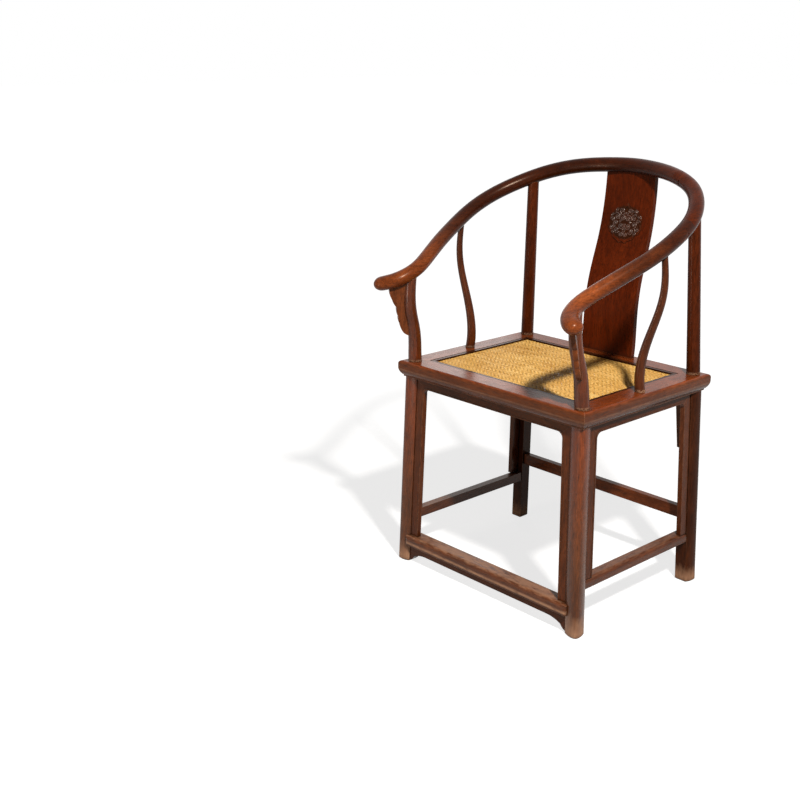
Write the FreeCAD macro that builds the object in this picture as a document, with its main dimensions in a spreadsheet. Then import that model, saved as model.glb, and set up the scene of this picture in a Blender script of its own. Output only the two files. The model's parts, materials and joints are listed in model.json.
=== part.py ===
import FreeCAD, Part
import math
import os
import re
import Sketcher
from FreeCAD import Placement, Rotation, Vector

# Horseshoe back armchair in dark hardwood with a woven cane seat.
# X runs to the sitter's left, Y from the front to the back, Z up; millimetres.
# Every piece is drawn about the middle of the seat frame, then set back to its place in the chair.

SIZES = {
    # whole chair
    "overall_depth": 596.5,
    "seat_set_back": 6.25,
    "joint_clearance": 0.2,
    "cut_overrun": 6,
    # seat frame
    "seat_width": 580,
    "seat_depth": 464,
    "seat_height": 527,
    "frame_thickness": 39,
    "front_rail_width": 70,
    "back_rail_width": 69,
    "side_rail_width": 68,
    "edge_round": 7.5,
    "edge_band": 10,
    "edge_undercut": 8.5,
    "edge_curve_radius": 26,
    "edge_bead": 4,
    "edge_bead_step": 1.5,
    "mitre_tenon_inset": 50,
    "mitre_tenon_width": 12,
    "mitre_tenon_rise": 8,
    "mitre_tenon_thickness": 10,
    "mitre_tenon_stop": 16,
    "mitre_peg_inset": 30,
    "mitre_peg_diameter": 5,
    "mitre_peg_length": 21,
    # woven seat
    "ledge_width": 15,
    "ledge_depth": 9,
    "webbing_thickness": 2.2,
    "mat_thickness": 2.6,
    "mat_clearance": 0.3,
    "strip_bar_width": 9,
    "strip_bar_thickness": 3.6,
    "nail_diameter": 2,
    "nail_length": 12,
    "nail_corner_gap": 12,
    "brace_width": 26,
    "brace_thickness": 12,
    "brace_drop": 9,
    "brace_belly_radius": 1500,
    "brace_spacing": 190,
    "brace_seat": 10,
    # legs and the posts that continue them
    "leg_size": 37,
    "leg_side_flat": 30,
    "leg_corner_inset": 2.7,
    "foot_chamfer": 3,
    "leg_side_set_in": 30.5,
    "foot_splay": 16,
    "front_leg_set_in": 28.6,
    "front_foot_advance": 7.1,
    "rear_leg_set_in": 28.3,
    "rear_foot_retreat": 13.3,
    "front_post_base_diameter": 33,
    "front_post_top_diameter": 27,
    "front_post_top_set_in": 56,
    "rear_post_base_diameter": 32.5,
    "rear_post_top_diameter": 27.5,
    "rear_post_top_set_in": 89,
    "post_tenon_diameter": 13,
    "post_tenon_rise": 5,
    # side posts
    "side_post_set_in": 25.6,
    "side_post_reach": 8.3,
    "side_post_base_diameter": 23.5,
    "side_post_top_diameter": 13.5,
    "side_post_top_reach": 6.5,
    "side_post_tenon_diameter": 8,
    "side_post_foot_tenon_diameter": 12,
    "side_post_foot_tenon_length": 22,
    # crest rail
    "crest_height": 983,
    "crest_half_width": 304.5,
    "crest_back_diameter": 36,
    "crest_arm_diameter": 35,
    "grip_height": 724,
    "grip_width": 42,
    "grip_thickness": 34,
    "grip_length": 95,
    "section_spacing": 26,
    "scarf_length": 60,
    "wedge_pin_size": 8,
    "wedge_pin_set_in": 1,
    # back splat
    "splat_base_width": 158,
    "splat_top_width": 143,
    "splat_thickness": 12,
    "splat_set_in": 21,
    "splat_top_set_in": 1,
    "splat_head_rise": 2,
    "splat_tenon_length": 12,
    "splat_tenon_shoulder": 2.5,
    "medallion_width": 98,
    "medallion_height": 96,
    "medallion_centre_height": 845,
    "medallion_relief": 2.4,
    "medallion_groove_depth": 1.2,
    # brackets under the hand grips
    "bracket_thickness": 11,
    "bracket_reach": 51,
    "bracket_drop": 113,
    "bracket_lobe_rise": 1.6,
    "bracket_tongue": 3,
    # framing aprons and strips between the legs
    "apron_height": 22.5,
    "apron_thickness": 12,
    "apron_set_in": 8,
    "apron_corner_radius": 14,
    "apron_bead": 3.5,
    "apron_bead_rise": 1,
    "strip_width": 24,
    "back_apron_drop": 152,
    "back_apron_foot": 17,
    # footrest and stretchers
    "footrest_top": 73.7,
    "footrest_height": 26,
    "footrest_width": 40,
    "footrest_proud": 5,
    "footrest_nose_radius": 10,
    "footrest_bead": 4,
    "footrest_bead_step": 1.5,
    "footrest_lap": 9,
    "toe_apron_height": 20.4,
    "toe_apron_end_drop": 22.8,
    "toe_apron_cusp_drop": 9.5,
    "toe_apron_cusp_set_in": 16,
    "toe_apron_curve_length": 41,
    "toe_apron_curve_radius": 91,
    "toe_apron_foot_radius": 34,
    "side_stretcher_top": 130,
    "right_stretcher_rise": 6.5,
    "side_stretcher_height": 24,
    "side_stretcher_width": 28,
    "back_stretcher_top": 191,
    "back_stretcher_height": 29.5,
    "back_stretcher_width": 24,
    "stretcher_top_radius": 10,
    "stretcher_bottom_radius": 4,
    "stretcher_tenon_length": 20,
    "stretcher_tenon_inset": 5,
}

# The crest rail's centre line from the middle of the back to the hand grip, as shares of its
# half width, of the way from the grip to the back, and of the rise from the grip to the back.
CREST_ROUTE_SHARES = (
    (0.000, 1.000, 1.000),
    (0.246, 0.962, 0.990),
    (0.493, 0.873, 0.957),
    (0.706, 0.756, 0.889),
    (0.870, 0.573, 0.788),
    (0.972, 0.348, 0.674),
    (1.000, 0.104, 0.551),
    (0.972, -0.140, 0.424),
    (0.913, -0.381, 0.307),
    (0.844, -0.611, 0.188),
    (0.818, -0.736, 0.125),
    (0.831, -0.854, 0.070),
    (0.880, -0.943, 0.029),
    (0.949, -1.000, 0.000),
)
# Places of the crest rail's two scarfs on each side, as shares of half its length.
CREST_JOINT_SHARES = (0.24, 0.53)
# Places of the sections that round off a hand grip, as shares of its half width.
GRIP_END_SHARES = (0.35, 0.62, 0.82, 0.94, 0.99)
# Curves of the posts and the splat, as shares of their rise and of their lean.
SIDE_POST_SHARES = ((0, 0), (0.19, -0.06), (0.36, 0.29), (0.55, 0.85), (0.73, 1.17), (0.90, 1.10), (1, 1))
FRONT_POST_SHARES = ((0, 0), (0.20, 0.14), (0.40, 0.43), (0.56, 0.84), (0.72, 1.06), (0.87, 1.06), (1, 1))
SPLAT_SHARES = ((0, 0), (0.20, 0.08), (0.41, 0.27), (0.59, 0.65), (0.77, 0.91), (0.90, 0.99), (1, 1))
# Outline of the carved medallion from its top point down one side, as shares of its half sizes.
MEDALLION_SHARES = (
    (0, 1.00), (0.14, 0.80), (0.34, 0.72), (0.52, 0.74), (0.60, 0.58), (0.80, 0.50), (0.96, 0.26),
    (0.92, 0.04), (1.00, -0.20), (0.88, -0.46), (0.66, -0.56), (0.58, -0.76), (0.36, -0.84),
    (0.18, -0.98), (0, -0.90),
)
# Outer and inner edge of the groove that follows the medallion's outline, as shares of it.
MEDALLION_GROOVE_SHARES = (0.86, 0.79)
# Cusps of the leaf bracket's lobed edge from its tip under the grip down to the post, as shares of
# its reach and drop, and the direction it points in, as shares of outwards and forwards.
BRACKET_CUSP_SHARES = (
    (1.00, 0.00), (0.90, 0.20), (0.74, 0.36), (0.70, 0.58), (0.66, 0.73), (0.52, 0.93), (0.24, 1.00),
)
BRACKET_WAY_SHARES = (0.53, 0.85)
# Where a leg's outer faces are fullest, as a share of its half size.
LEG_FACE_SHARE = 0.12
SEARCH_SHARE = 1e-6

SIDES = {"left": 1, "right": -1}

document = FreeCAD.newDocument("horseshoe_back_armchair")
sheet = document.addObject("Spreadsheet::Sheet", "sizes")
for row, (alias, number) in enumerate(SIZES.items(), start=1):
    sheet.set(f"A{row}", alias)
    sheet.set(f"B{row}", str(number))
    sheet.setAlias(f"B{row}", alias)
document.recompute()

pieces = {}


def linked(formula):
    """A formula in which each size's name points at its cell of the sheet."""
    return re.sub(r"[a-z]\w+", lambda word: f"sizes.{word.group()}", formula)


def worth(formula):
    """The number that a formula of the sheet's sizes comes to."""
    return float(sheet.evalExpression(linked(formula)))


SET_BACK = Placement(Vector(0, worth("seat_set_back"), 0), Rotation())
CLEARANCE = worth("joint_clearance")
FRAME_BOTTOM = "(seat_height - frame_thickness)"

# Distances from the middle of the seat frame that several pieces share
CREST_BACK = "(overall_depth / 2 - crest_back_diameter / 2 - seat_set_back)"
CREST_FRONT = "(grip_width / 2 - overall_depth / 2 - seat_set_back)"
LEG_SPREAD = "(seat_width / 2 - leg_side_set_in)"
FRONT_REACH = "(seat_depth / 2 - front_leg_set_in)"
REAR_REACH = "(seat_depth / 2 - rear_leg_set_in)"
SIDE_POST_SPREAD = "(seat_width / 2 - side_post_set_in)"
SPLAT_REACH = "(seat_depth / 2 - splat_set_in)"


# Sketches and features of the bodies

def turned(degrees):
    """Turns a piece drawn for the chair's front round to another side of it."""
    return Placement(Vector(), Rotation(Vector(0, 0, 1), degrees))


def body_named(name, placement=Placement()):
    body = document.addObject("PartDesign::Body", name)
    body.Label = name
    body.Placement = SET_BACK.multiply(placement)
    pieces[name] = body
    return body


def plane_sketch(body, plane, lift):
    """An empty sketch on one of the body's own planes, moved off it by the lift."""
    sketch = body.newObject("Sketcher::SketchObject", "sketch")
    support = [flat for flat in body.Origin.OriginFeatures if flat.Role == plane][0]
    sketch.AttachmentSupport = (support, [""])
    sketch.MapMode = "FlatFace"
    if lift:
        sketch.setExpression(".AttachmentOffset.Base.z", linked(lift))
    return sketch


def hold(sketch, kind, formula, *where):
    """A dimension of a sketch that follows the sheet."""
    at = sketch.addConstraint(Sketcher.Constraint(kind, *where, worth(formula)))
    sketch.setExpression(f"Constraints[{at}]", linked(formula))


def arc_between(start, end, radius):
    """The short anticlockwise arc from start to end."""
    chord = end - start
    across = Vector(-chord.y, chord.x, 0).normalize()
    centre = (start + end) / 2 + across * math.sqrt(max(radius ** 2 - (chord.Length / 2) ** 2, 0))
    first, last = (math.atan2(spot.y - centre.y, spot.x - centre.x) for spot in (start, end))
    return Part.ArcOfCircle(Part.Circle(centre, Vector(0, 0, 1), radius), first, last)


def ends_of(corner):
    """Which end of a corner's line or arc is its start and which is its end."""
    return (2, 1) if "clockwise" in corner else (1, 2)


def outline(body, plane, corners, lift=None):
    """A closed sketch through corners given as formulas. A third formula at a corner is the radius
    of an arc from there on to the next corner, anticlockwise unless the word clockwise follows it."""
    sketch = plane_sketch(body, plane, lift)
    spots = [Vector(worth(corner[0]), worth(corner[1]), 0) for corner in corners]
    for number, corner in enumerate(corners):
        pair = spots[number], spots[(number + 1) % len(spots)]
        first, last = (pair[end - 1] for end in ends_of(corner))
        if len(corner) > 2:
            sketch.addGeometry(arc_between(first, last, worth(corner[2])))
        else:
            sketch.addGeometry(Part.LineSegment(first, last))
    for number, corner in enumerate(corners):
        before = number - 1 if number else len(corners) - 1
        start, stop = ends_of(corner)[0], ends_of(corners[before])[1]
        sketch.addConstraint(Sketcher.Constraint("Coincident", before, stop, number, start))
        hold(sketch, "DistanceX", corner[0], -1, 1, number, start)
        hold(sketch, "DistanceY", corner[1], -1, 1, number, start)
        if len(corner) > 2:
            hold(sketch, "Radius", corner[2], number)
    return sketch


def block(low_x, low_y, high_x, high_y):
    """The four corners of a rectangle."""
    return [(low_x, low_y), (high_x, low_y), (high_x, high_y), (low_x, high_y)]


def rings(body, spots, diameter, lift):
    """A level sketch of equal circles at the given places."""
    sketch = plane_sketch(body, "XY_Plane", lift)
    for number, (across, along) in enumerate(spots):
        centre = Vector(worth(across), worth(along), 0)
        sketch.addGeometry(Part.Circle(centre, Vector(0, 0, 1), worth(diameter) / 2))
        hold(sketch, "DistanceX", across, -1, 1, number, 3)
        hold(sketch, "DistanceY", along, -1, 1, number, 3)
        hold(sketch, "Diameter", diameter, number)
    return sketch


def pad(body, sketch, length, reverse=False):
    feature = body.newObject("PartDesign::Pad", "pad")
    feature.Profile = sketch
    feature.setExpression("Length", linked(length))
    feature.Reversed = reverse
    return feature


def pocket(body, sketch, length, reverse=False):
    """A cut to a depth, which goes against the sketch's plane unless reversed."""
    feature = body.newObject("PartDesign::Pocket", "pocket")
    feature.Profile = sketch
    feature.setExpression("Length", linked(length))
    feature.Reversed = reverse
    return feature


def groove_along(body, sketch):
    """A cut right through the body, both ways from the sketch."""
    feature = body.newObject("PartDesign::Pocket", "pocket")
    feature.Profile = sketch
    feature.SideType = "Symmetric"
    feature.Type = "ThroughAll"
    return feature


def made(name, shape):
    """A piece whose shape is worked out from the sheet's sizes with solid geometry."""
    feature = document.addObject("Part::Feature", name)
    feature.Label = name
    feature.Shape = shape
    feature.Placement = SET_BACK
    pieces[name] = feature
    return feature


def fitted(name, tool):
    """Trims a body by the shape of what it fits round."""
    cutter = document.addObject("Part::Feature", f"{name}_cutter")
    cutter.Shape = tool
    cutter.Placement = SET_BACK
    blank = pieces[name]
    blank.Label = f"{name}_blank"
    trimmed = document.addObject("Part::Cut", f"{name}_fitted")
    trimmed.Label = name
    trimmed.Base = blank
    trimmed.Tool = cutter
    pieces[name] = trimmed


# Lines that the legs, posts, crest rail and splat follow

def crest_curve():
    """The crest rail's centre line, from the right grip round the back to the left grip."""
    back, front = worth(CREST_BACK), worth(CREST_FRONT)
    half_way, middle = (back - front) / 2, (back + front) / 2
    width, low = worth("crest_half_width"), worth("grip_height")
    rise = worth("crest_height") - low
    left = [Vector(across * width, middle + along * half_way, low + up * rise)
            for across, along, up in CREST_ROUTE_SHARES]
    right = [Vector(-spot.x, spot.y, spot.z) for spot in left[:0:-1]]
    curve = Part.BSplineCurve()
    curve.interpolate(right + left)
    return curve


CREST = crest_curve()
CREST_HALF = CREST.length() / 2
INNER_JOINT, OUTER_JOINT = (share * CREST_HALF for share in CREST_JOINT_SHARES)


def crest_at(way, side=1):
    """Point and outward direction of the crest rail at a way from the middle of the back."""
    parameter = CREST.parameterAtDistance(CREST_HALF + side * way, CREST.FirstParameter)
    return CREST.value(parameter), CREST.tangent(parameter)[0] * side


def crest_way(reach):
    """Way along the crest rail to where it stands at a given depth from the seat's middle."""
    near, far = 0, CREST_HALF
    while far - near > CREST_HALF * SEARCH_SHARE:
        half = (near + far) / 2
        near, far = (half, far) if crest_at(half)[0].y > reach else (near, half)
    return near


def leg_centre(side, end, height):
    """Middle of a leg at a height, its splay growing from the seat frame to the floor."""
    fall = 1 - height / worth(FRAME_BOTTOM)
    across = worth(LEG_SPREAD) + fall * worth("foot_splay")
    if end == "front":
        along = -worth(FRONT_REACH) - fall * worth("front_foot_advance")
    else:
        along = worth(REAR_REACH) + fall * worth("rear_foot_retreat")
    return Vector(SIDES[side] * across, along, height)


def post_top(side, end):
    """Where a post's axis meets the crest rail's centre line."""
    reach = {"front": f"{CREST_FRONT} + front_post_top_set_in",
             "rear": f"{CREST_BACK} - rear_post_top_set_in",
             "side": "-side_post_top_reach"}
    return crest_at(crest_way(worth(reach[end])), SIDES[side])[0]


# Solids of the crest rail

def upright_frame(direction):
    """Level and upward directions square to a route."""
    level = direction.cross(Vector(0, 0, 1)).normalize()
    return level, level.cross(direction).normalize()


def oval(centre, direction, width, height):
    """An oval round a point of a route, square to the route, with its width level."""
    level, upward = upright_frame(direction)
    wide, tall = level * (width / 2), upward * (height / 2)
    frame = FreeCAD.Matrix(
        wide.x, tall.x, direction.x, centre.x,
        wide.y, tall.y, direction.y, centre.y,
        wide.z, tall.z, direction.z, centre.z)
    unit = Part.Circle(Vector(), Vector(0, 0, 1), 1).toShape()
    return Part.Wire(unit.transformGeometry(frame).Edges)


def crest_size(way):
    """Width and height of the crest rail at a way from the middle of the back."""
    back, arm = worth("crest_back_diameter"), worth("crest_arm_diameter")
    plain = back + (arm - back) * min(abs(way) / INNER_JOINT, 1)
    swell = max(1 - (CREST_HALF - abs(way)) / worth("grip_length"), 0)
    swell = swell ** 2 * (3 - 2 * swell)
    return plain + (worth("grip_width") - arm) * swell, plain + (worth("grip_thickness") - arm) * swell


def crest_bar(first, last, side=1, spare=0, rounded=False):
    """The crest rail's solid between two ways, thicker by a spare all round."""
    count = math.ceil((last - first) / worth("section_spacing"))
    wires = []
    for number in range(count + 1):
        way = first + (last - first) * number / count
        width, height = crest_size(way)
        wires.append(oval(*crest_at(way, side), width + 2 * spare, height + 2 * spare))
    for share in GRIP_END_SHARES if rounded else ():
        centre, direction = crest_at(last, side)
        shrink = math.sqrt(1 - share ** 2)
        centre = centre + direction * (share * (width / 2 + spare))
        wires.append(oval(centre, direction, (width + 2 * spare) * shrink, (height + 2 * spare) * shrink))
    return Part.makeLoft(wires, True, False)


def block_at(way, side, low, high):
    """A block between two corners given along the crest rail, level across it and upwards."""
    centre, direction = crest_at(way, side)
    level, upward = upright_frame(direction)
    box = Part.makeBox(*(Vector(*high) - Vector(*low)), Vector(*low))
    box.Placement = Placement(centre, Rotation(direction, level * -1, upward, "XYZ"))
    return box


def scarf_waste(way, side, inner):
    """What a scarf takes off a crest section: the upper half of the inner section's end or the
    lower half of the outer section's end, and all that lies past the joint."""
    half, wide = worth("scarf_length") / 2, worth("crest_back_diameter")
    past = half + 2 * worth("section_spacing")
    if inner:
        lap = block_at(way, side, (-half, -wide, 0), (past, wide, wide))
        return lap.fuse(block_at(way, side, (half, -wide, -wide), (past, wide, wide)))
    lap = block_at(way, side, (-past, -wide, -wide), (half, wide, 0))
    return lap.fuse(block_at(way, side, (-past, -wide, -wide), (-half, wide, wide)))


def wedge_pin(way, side, hole=False):
    """A square pin driven level through a scarf, or the hole for it."""
    half = worth("wedge_pin_size") / 2 + (CLEARANCE if hole else 0)
    reach = worth("crest_back_diameter" if hole else "crest_arm_diameter / 2 - wedge_pin_set_in")
    return block_at(way, side, (-half, -reach, -half), (half, reach, half))


# Solids of the legs and posts

def leg_section(centre, side, end, size):
    """A leg's section: square towards the inside of the chair, full and softly rounded on the outside."""
    half, flat = size / 2, size * worth("leg_side_flat / leg_size")
    crown = half - worth("leg_corner_inset")
    turn_x, turn_y = SIDES[side], -1 if end == "front" else 1
    places = ((-half, -half), (flat - half, -half), (half, half * LEG_FACE_SHARE), (crown, crown),
              (half * LEG_FACE_SHARE, half), (-half, flat - half))
    spots = [centre + Vector(turn_x * across, turn_y * along, 0) for across, along in places]
    round_side = Part.BSplineCurve()
    round_side.interpolate(spots[1:])
    return Part.Wire([
        Part.makeLine(spots[0], spots[1]),
        round_side.toShape(),
        Part.makeLine(spots[-1], spots[0]),
    ])


def leg_bar(side, end, spare=0):
    """A leg from the floor to the seat frame, with its foot's edge taken off."""
    size, chamfer = worth("leg_size") + 2 * spare, worth("foot_chamfer")
    levels = ((0, size - 2 * chamfer), (chamfer, size), (worth(FRAME_BOTTOM), size))
    return Part.makeLoft([leg_section(leg_centre(side, end, level), side, end, wide)
                          for level, wide in levels], True, True)


def post_foot(side, end):
    """Where a post leaves the seat frame."""
    if end == "side":
        return Vector(SIDES[side] * worth(SIDE_POST_SPREAD), -worth("side_post_reach"), worth("seat_height"))
    foot = leg_centre(side, end, worth(FRAME_BOTTOM))
    return Vector(foot.x, foot.y, worth("seat_height"))


def post_line(side, end):
    """Points of a post's axis from the seat frame's top up to the crest rail's centre line."""
    foot = post_foot(side, end)
    rise = post_top(side, end) - foot
    spots = []
    for up, lean in SIDE_POST_SHARES if end == "side" else FRONT_POST_SHARES:
        across = lean if end == "side" else up
        along = lean if end == "front" else up
        spots.append(foot + Vector(rise.x * across, rise.y * along, rise.z * up))
    return spots


def post_bar(side, end, spare=0):
    """A post through level circles round its axis."""
    base, head = worth(f"{end}_post_base_diameter"), worth(f"{end}_post_top_diameter")
    spots = post_line(side, end)
    rise = spots[-1].z - spots[0].z
    wires = []
    for spot in spots:
        diameter = base + (head - base) * (spot.z - spots[0].z) / rise
        wires.append(Part.Wire(Part.makeCircle(diameter / 2 + spare, spot)))
    return Part.makeLoft(wires, True, False)


def post_axis(side, end, height):
    """A post's axis at a height."""
    spots = post_line(side, end)
    for low, high in zip(spots, spots[1:]):
        if height <= high.z:
            return low + (high - low) * ((height - low.z) / (high.z - low.z))
    return spots[-1]


def post_tenon(side, end, spare=0):
    """The round tenon on a post's head, standing in the crest rail."""
    thick = worth("side_post_tenon_diameter" if end == "side" else "post_tenon_diameter")
    low, high = worth("crest_arm_diameter"), worth("post_tenon_rise") + spare
    return Part.makeCylinder(thick / 2 + spare, low + high, post_top(side, end) - Vector(0, 0, low))


def coped_post(side, end):
    """A post with its head hollowed to the crest rail's round and a tenon on it."""
    return post_bar(side, end).cut(envelopes[side]).fuse(post_tenon(side, end))


# Solids of the splat and the brackets

def splat_bar(front, back, spare=0):
    """The splat's curved board, to given thicknesses before and behind its middle."""
    low, high = worth("seat_height"), worth("crest_height + splat_head_rise") + spare
    base = worth(SPLAT_REACH)
    lean = crest_at(0)[0].y - worth("splat_top_set_in") - base
    base_half, top_half = worth("splat_base_width") / 2 + spare, worth("splat_top_width") / 2 + spare
    wires = []
    for up, over in SPLAT_SHARES:
        half = base_half + (top_half - base_half) * up
        along, level = base + lean * over, low + (high - low) * up
        places = ((-half, -front), (half, -front), (half, back), (-half, back), (-half, -front))
        wires.append(Part.makePolygon([Vector(across, along + deep, level) for across, deep in places]))
    return Part.makeLoft(wires, True, False)


def medallion_prism(share):
    """The medallion's outline at a share of its size, carried through the splat from front to back."""
    half_width, half_height = worth("medallion_width / 2") * share, worth("medallion_height / 2") * share
    middle = worth("medallion_centre_height")
    left = [Vector(across * half_width, 0, middle + up * half_height) for across, up in MEDALLION_SHARES]
    right = [Vector(-spot.x, 0, spot.z) for spot in left[-2:0:-1]]
    face = Part.Face(Part.makePolygon(left + right + left[:1]))
    return face.extrude(Vector(0, worth("overall_depth"), 0))


def carved_splat():
    half, relief = worth("splat_thickness") / 2, worth("medallion_relief")
    board = splat_bar(half, half)
    raised = medallion_prism(1).common(splat_bar(half + relief, 0))
    outer, inner = (medallion_prism(share) for share in MEDALLION_GROOVE_SHARES)
    kept = splat_bar(half + relief - worth("medallion_groove_depth"), 0)
    raised = raised.cut(outer.cut(inner).cut(kept))
    return board.fuse([raised, splat_foot()]).removeSplitter()


def splat_foot(spare=0):
    """The tenon under the splat, inset from the board all round."""
    inset = worth("splat_tenon_shoulder") - spare
    wide, thick = worth("splat_base_width") - 2 * inset, worth("splat_thickness") - 2 * inset
    deep = worth("splat_tenon_length") + spare
    corner = Vector(-wide / 2, worth(SPLAT_REACH) - thick / 2, worth("seat_height") - deep)
    return Part.makeBox(wide, thick, deep, corner)


def bracket_plate(side, spare=0):
    """The leaf bracket's plate, which leans with the post's axis and points forwards and outwards."""
    reach, drop = worth("bracket_reach"), worth("bracket_drop")
    head = post_axis(side, "front", worth("grip_height - grip_thickness / 2"))
    upward = head - post_axis(side, "front", head.z - drop)
    outward = Vector(SIDES[side] * BRACKET_WAY_SHARES[0], -BRACKET_WAY_SHARES[1], 0).normalize()
    top, low = head + upward * (worth("grip_thickness / 2") / drop), head - upward * (1 + spare / drop)
    cusps = [head + outward * (reach * out + spare) - upward * (down + spare / drop)
             for out, down in BRACKET_CUSP_SHARES]
    edge = []
    for start, end in zip(cusps, cusps[1:]):
        bulge = (end - start).cross(outward.cross(upward)).normalize() * worth("bracket_lobe_rise")
        edge.append(Part.Arc(start, (start + end) / 2 - bulge, end).toShape())
    round_back = [cusps[-1], low, top, top + outward * (reach + spare), cusps[0]]
    edge += [Part.makeLine(start, end) for start, end in zip(round_back, round_back[1:])]
    face = Part.Face(Part.Wire(edge))
    across = outward.cross(upward).normalize() * (worth("bracket_thickness") / 2 + spare)
    face.translate(across * -1)
    return face.extrude(across * 2)


# Crest rail in five sections, scarfed together and locked with pins

def crest_sections():
    past = worth("scarf_length") / 2 + worth("section_spacing")
    holes = {way: {side: wedge_pin(way, side, True) for side in SIDES.values()}
             for way in (INNER_JOINT, OUTER_JOINT)}
    half = worth("splat_thickness") / 2 + CLEARANCE
    middle = crest_bar(-INNER_JOINT - past, INNER_JOINT + past)
    waste = [scarf_waste(INNER_JOINT, side, True) for side in SIDES.values()]
    waste += list(holes[INNER_JOINT].values()) + [splat_bar(half, half, CLEARANCE)]
    made("crest_rail_centre", middle.cut(waste))
    for name, side in SIDES.items():
        shoulder = crest_bar(INNER_JOINT - past, OUTER_JOINT + past, side)
        waste = [scarf_waste(INNER_JOINT, side, False), scarf_waste(OUTER_JOINT, side, True),
                 holes[INNER_JOINT][side], holes[OUTER_JOINT][side], post_tenon(name, "rear", CLEARANCE)]
        made(f"crest_rail_shoulder_{name}", shoulder.cut(waste))
        grip = crest_bar(OUTER_JOINT - past, CREST_HALF, side, rounded=True)
        waste = [scarf_waste(OUTER_JOINT, side, False), holes[OUTER_JOINT][side],
                 post_tenon(name, "side", CLEARANCE), post_tenon(name, "front", CLEARANCE)]
        made(f"crest_rail_grip_{name}", grip.cut(waste))
    pins = [wedge_pin(way, side) for way in (INNER_JOINT, OUTER_JOINT) for side in SIDES.values()]
    made("crest_wedge_pins", Part.makeCompound(pins))


# Legs with their posts, side posts, splat and brackets

def tenon_block(side_name, spare=0):
    """The bar of wood whose two ends are a stretcher's tenons."""
    plan = STRETCHERS[side_name]
    (low_y, low_z), (high_y, high_z) = tenon_section(plan)
    low = Vector(worth(f"{plan['low']} - stretcher_tenon_length"), worth(low_y), worth(low_z))
    high = Vector(worth(f"{plan['high']} + stretcher_tenon_length"), worth(high_y), worth(high_z))
    ease = Vector(spare, spare, spare)
    bar = Part.makeBox(*(high - low + ease * 2), low - ease)
    bar.Placement = turned(plan["turn"])
    return bar


def legs_with_posts():
    mortises = [tenon_block(side_name, CLEARANCE) for side_name in STRETCHERS]
    for name in SIDES:
        core = post_bar(name, "front", -worth("bracket_tongue") - CLEARANCE)
        tongue = bracket_plate(name, CLEARANCE).cut(core)
        for end in ("front", "rear"):
            foot = leg_centre(name, end, worth(FRAME_BOTTOM))
            neck = Part.makeCylinder(worth(f"{end}_post_base_diameter") / 2, worth("frame_thickness"), foot)
            leg = leg_bar(name, end).fuse([neck, coped_post(name, end)]).removeSplitter()
            made(f"{end}_leg_and_post_{name}", main_solid(leg.cut(mortises + [tongue])))


def main_solid(shape):
    """The largest solid of a cut, without crumbs that the cut leaves."""
    return max(shape.Solids, key=lambda solid: solid.Volume)


def side_posts():
    for name in SIDES:
        foot = post_foot(name, "side")
        deep = worth("side_post_foot_tenon_length")
        tenon = Part.makeCylinder(worth("side_post_foot_tenon_diameter") / 2, deep, foot - Vector(0, 0, deep))
        made(f"side_post_{name}", coped_post(name, "side").fuse(tenon).removeSplitter())


def grip_brackets():
    for name in SIDES:
        post = post_bar(name, "front", -worth("bracket_tongue"))
        made(f"grip_bracket_{name}", main_solid(bracket_plate(name).cut([envelopes[name], post])))


# Seat frame: four mitred rails, the front and back ones tenoned into the side ones

def rail_plan(turn, half, edge, width, tenoned, neighbours, posts, reach):
    """What one rail of the seat frame needs to know of its own and its neighbours' sizes."""
    return {"turn": turn, "half": f"{half} / 2", "edge": f"{edge} / 2", "width": width, "tenoned": tenoned,
            "low_width": neighbours[0], "high_width": neighbours[1], "posts": posts, "reach": reach}


ACROSS_POSTS = (f"-{LEG_SPREAD}", LEG_SPREAD)
RAILS = {
    "front": rail_plan(0, "seat_width", "seat_depth", "front_rail_width", True,
                       ("side_rail_width", "side_rail_width"),
                       [(place, "front") for place in ACROSS_POSTS], FRONT_REACH),
    "left": rail_plan(90, "seat_depth", "seat_width", "side_rail_width", False,
                      ("front_rail_width", "back_rail_width"),
                      ((f"-{FRONT_REACH}", "front"), (REAR_REACH, "rear")), LEG_SPREAD),
    "back": rail_plan(180, "seat_width", "seat_depth", "back_rail_width", True,
                      ("side_rail_width", "side_rail_width"),
                      [(place, "rear") for place in ACROSS_POSTS], REAR_REACH),
    "right": rail_plan(-90, "seat_depth", "seat_width", "side_rail_width", False,
                       ("back_rail_width", "front_rail_width"),
                       ((f"-{REAR_REACH}", "rear"), (FRONT_REACH, "front")), LEG_SPREAD),
}
LEDGE_TOP = "(seat_height - ledge_depth)"
STRIP_TOP = f"({LEDGE_TOP} + webbing_thickness + mat_thickness + strip_bar_thickness)"


def moulded_edge(edge):
    """What is cut off a rail's outer edge: a rounded arris, an upright band, a bold curve tucked
    under the seat and a small bead at the bottom."""
    low, top = FRAME_BOTTOM, "seat_height"
    foot = f"-{edge} + edge_undercut"
    return [
        (f"-{edge} - cut_overrun", f"{top} + cut_overrun"),
        (f"-{edge} + edge_round", f"{top} + cut_overrun"),
        (f"-{edge} + edge_round", top, "edge_round"),
        (f"-{edge}", f"{top} - edge_round"),
        (f"-{edge}", f"{top} - edge_round - edge_band", "edge_curve_radius"),
        (foot, f"{low} + edge_bead"),
        (f"{foot} + edge_bead_step", f"{low} + edge_bead"),
        (f"{foot} + edge_bead_step", f"{low} - cut_overrun"),
        (f"-{edge} - cut_overrun", f"{low} - cut_overrun"),
    ]


def tenon_span(plan):
    """The mitre tenon's place across a front or back rail."""
    near = f"-{plan['edge']} + mitre_tenon_inset"
    return near, f"{near} + mitre_tenon_width"


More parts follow.
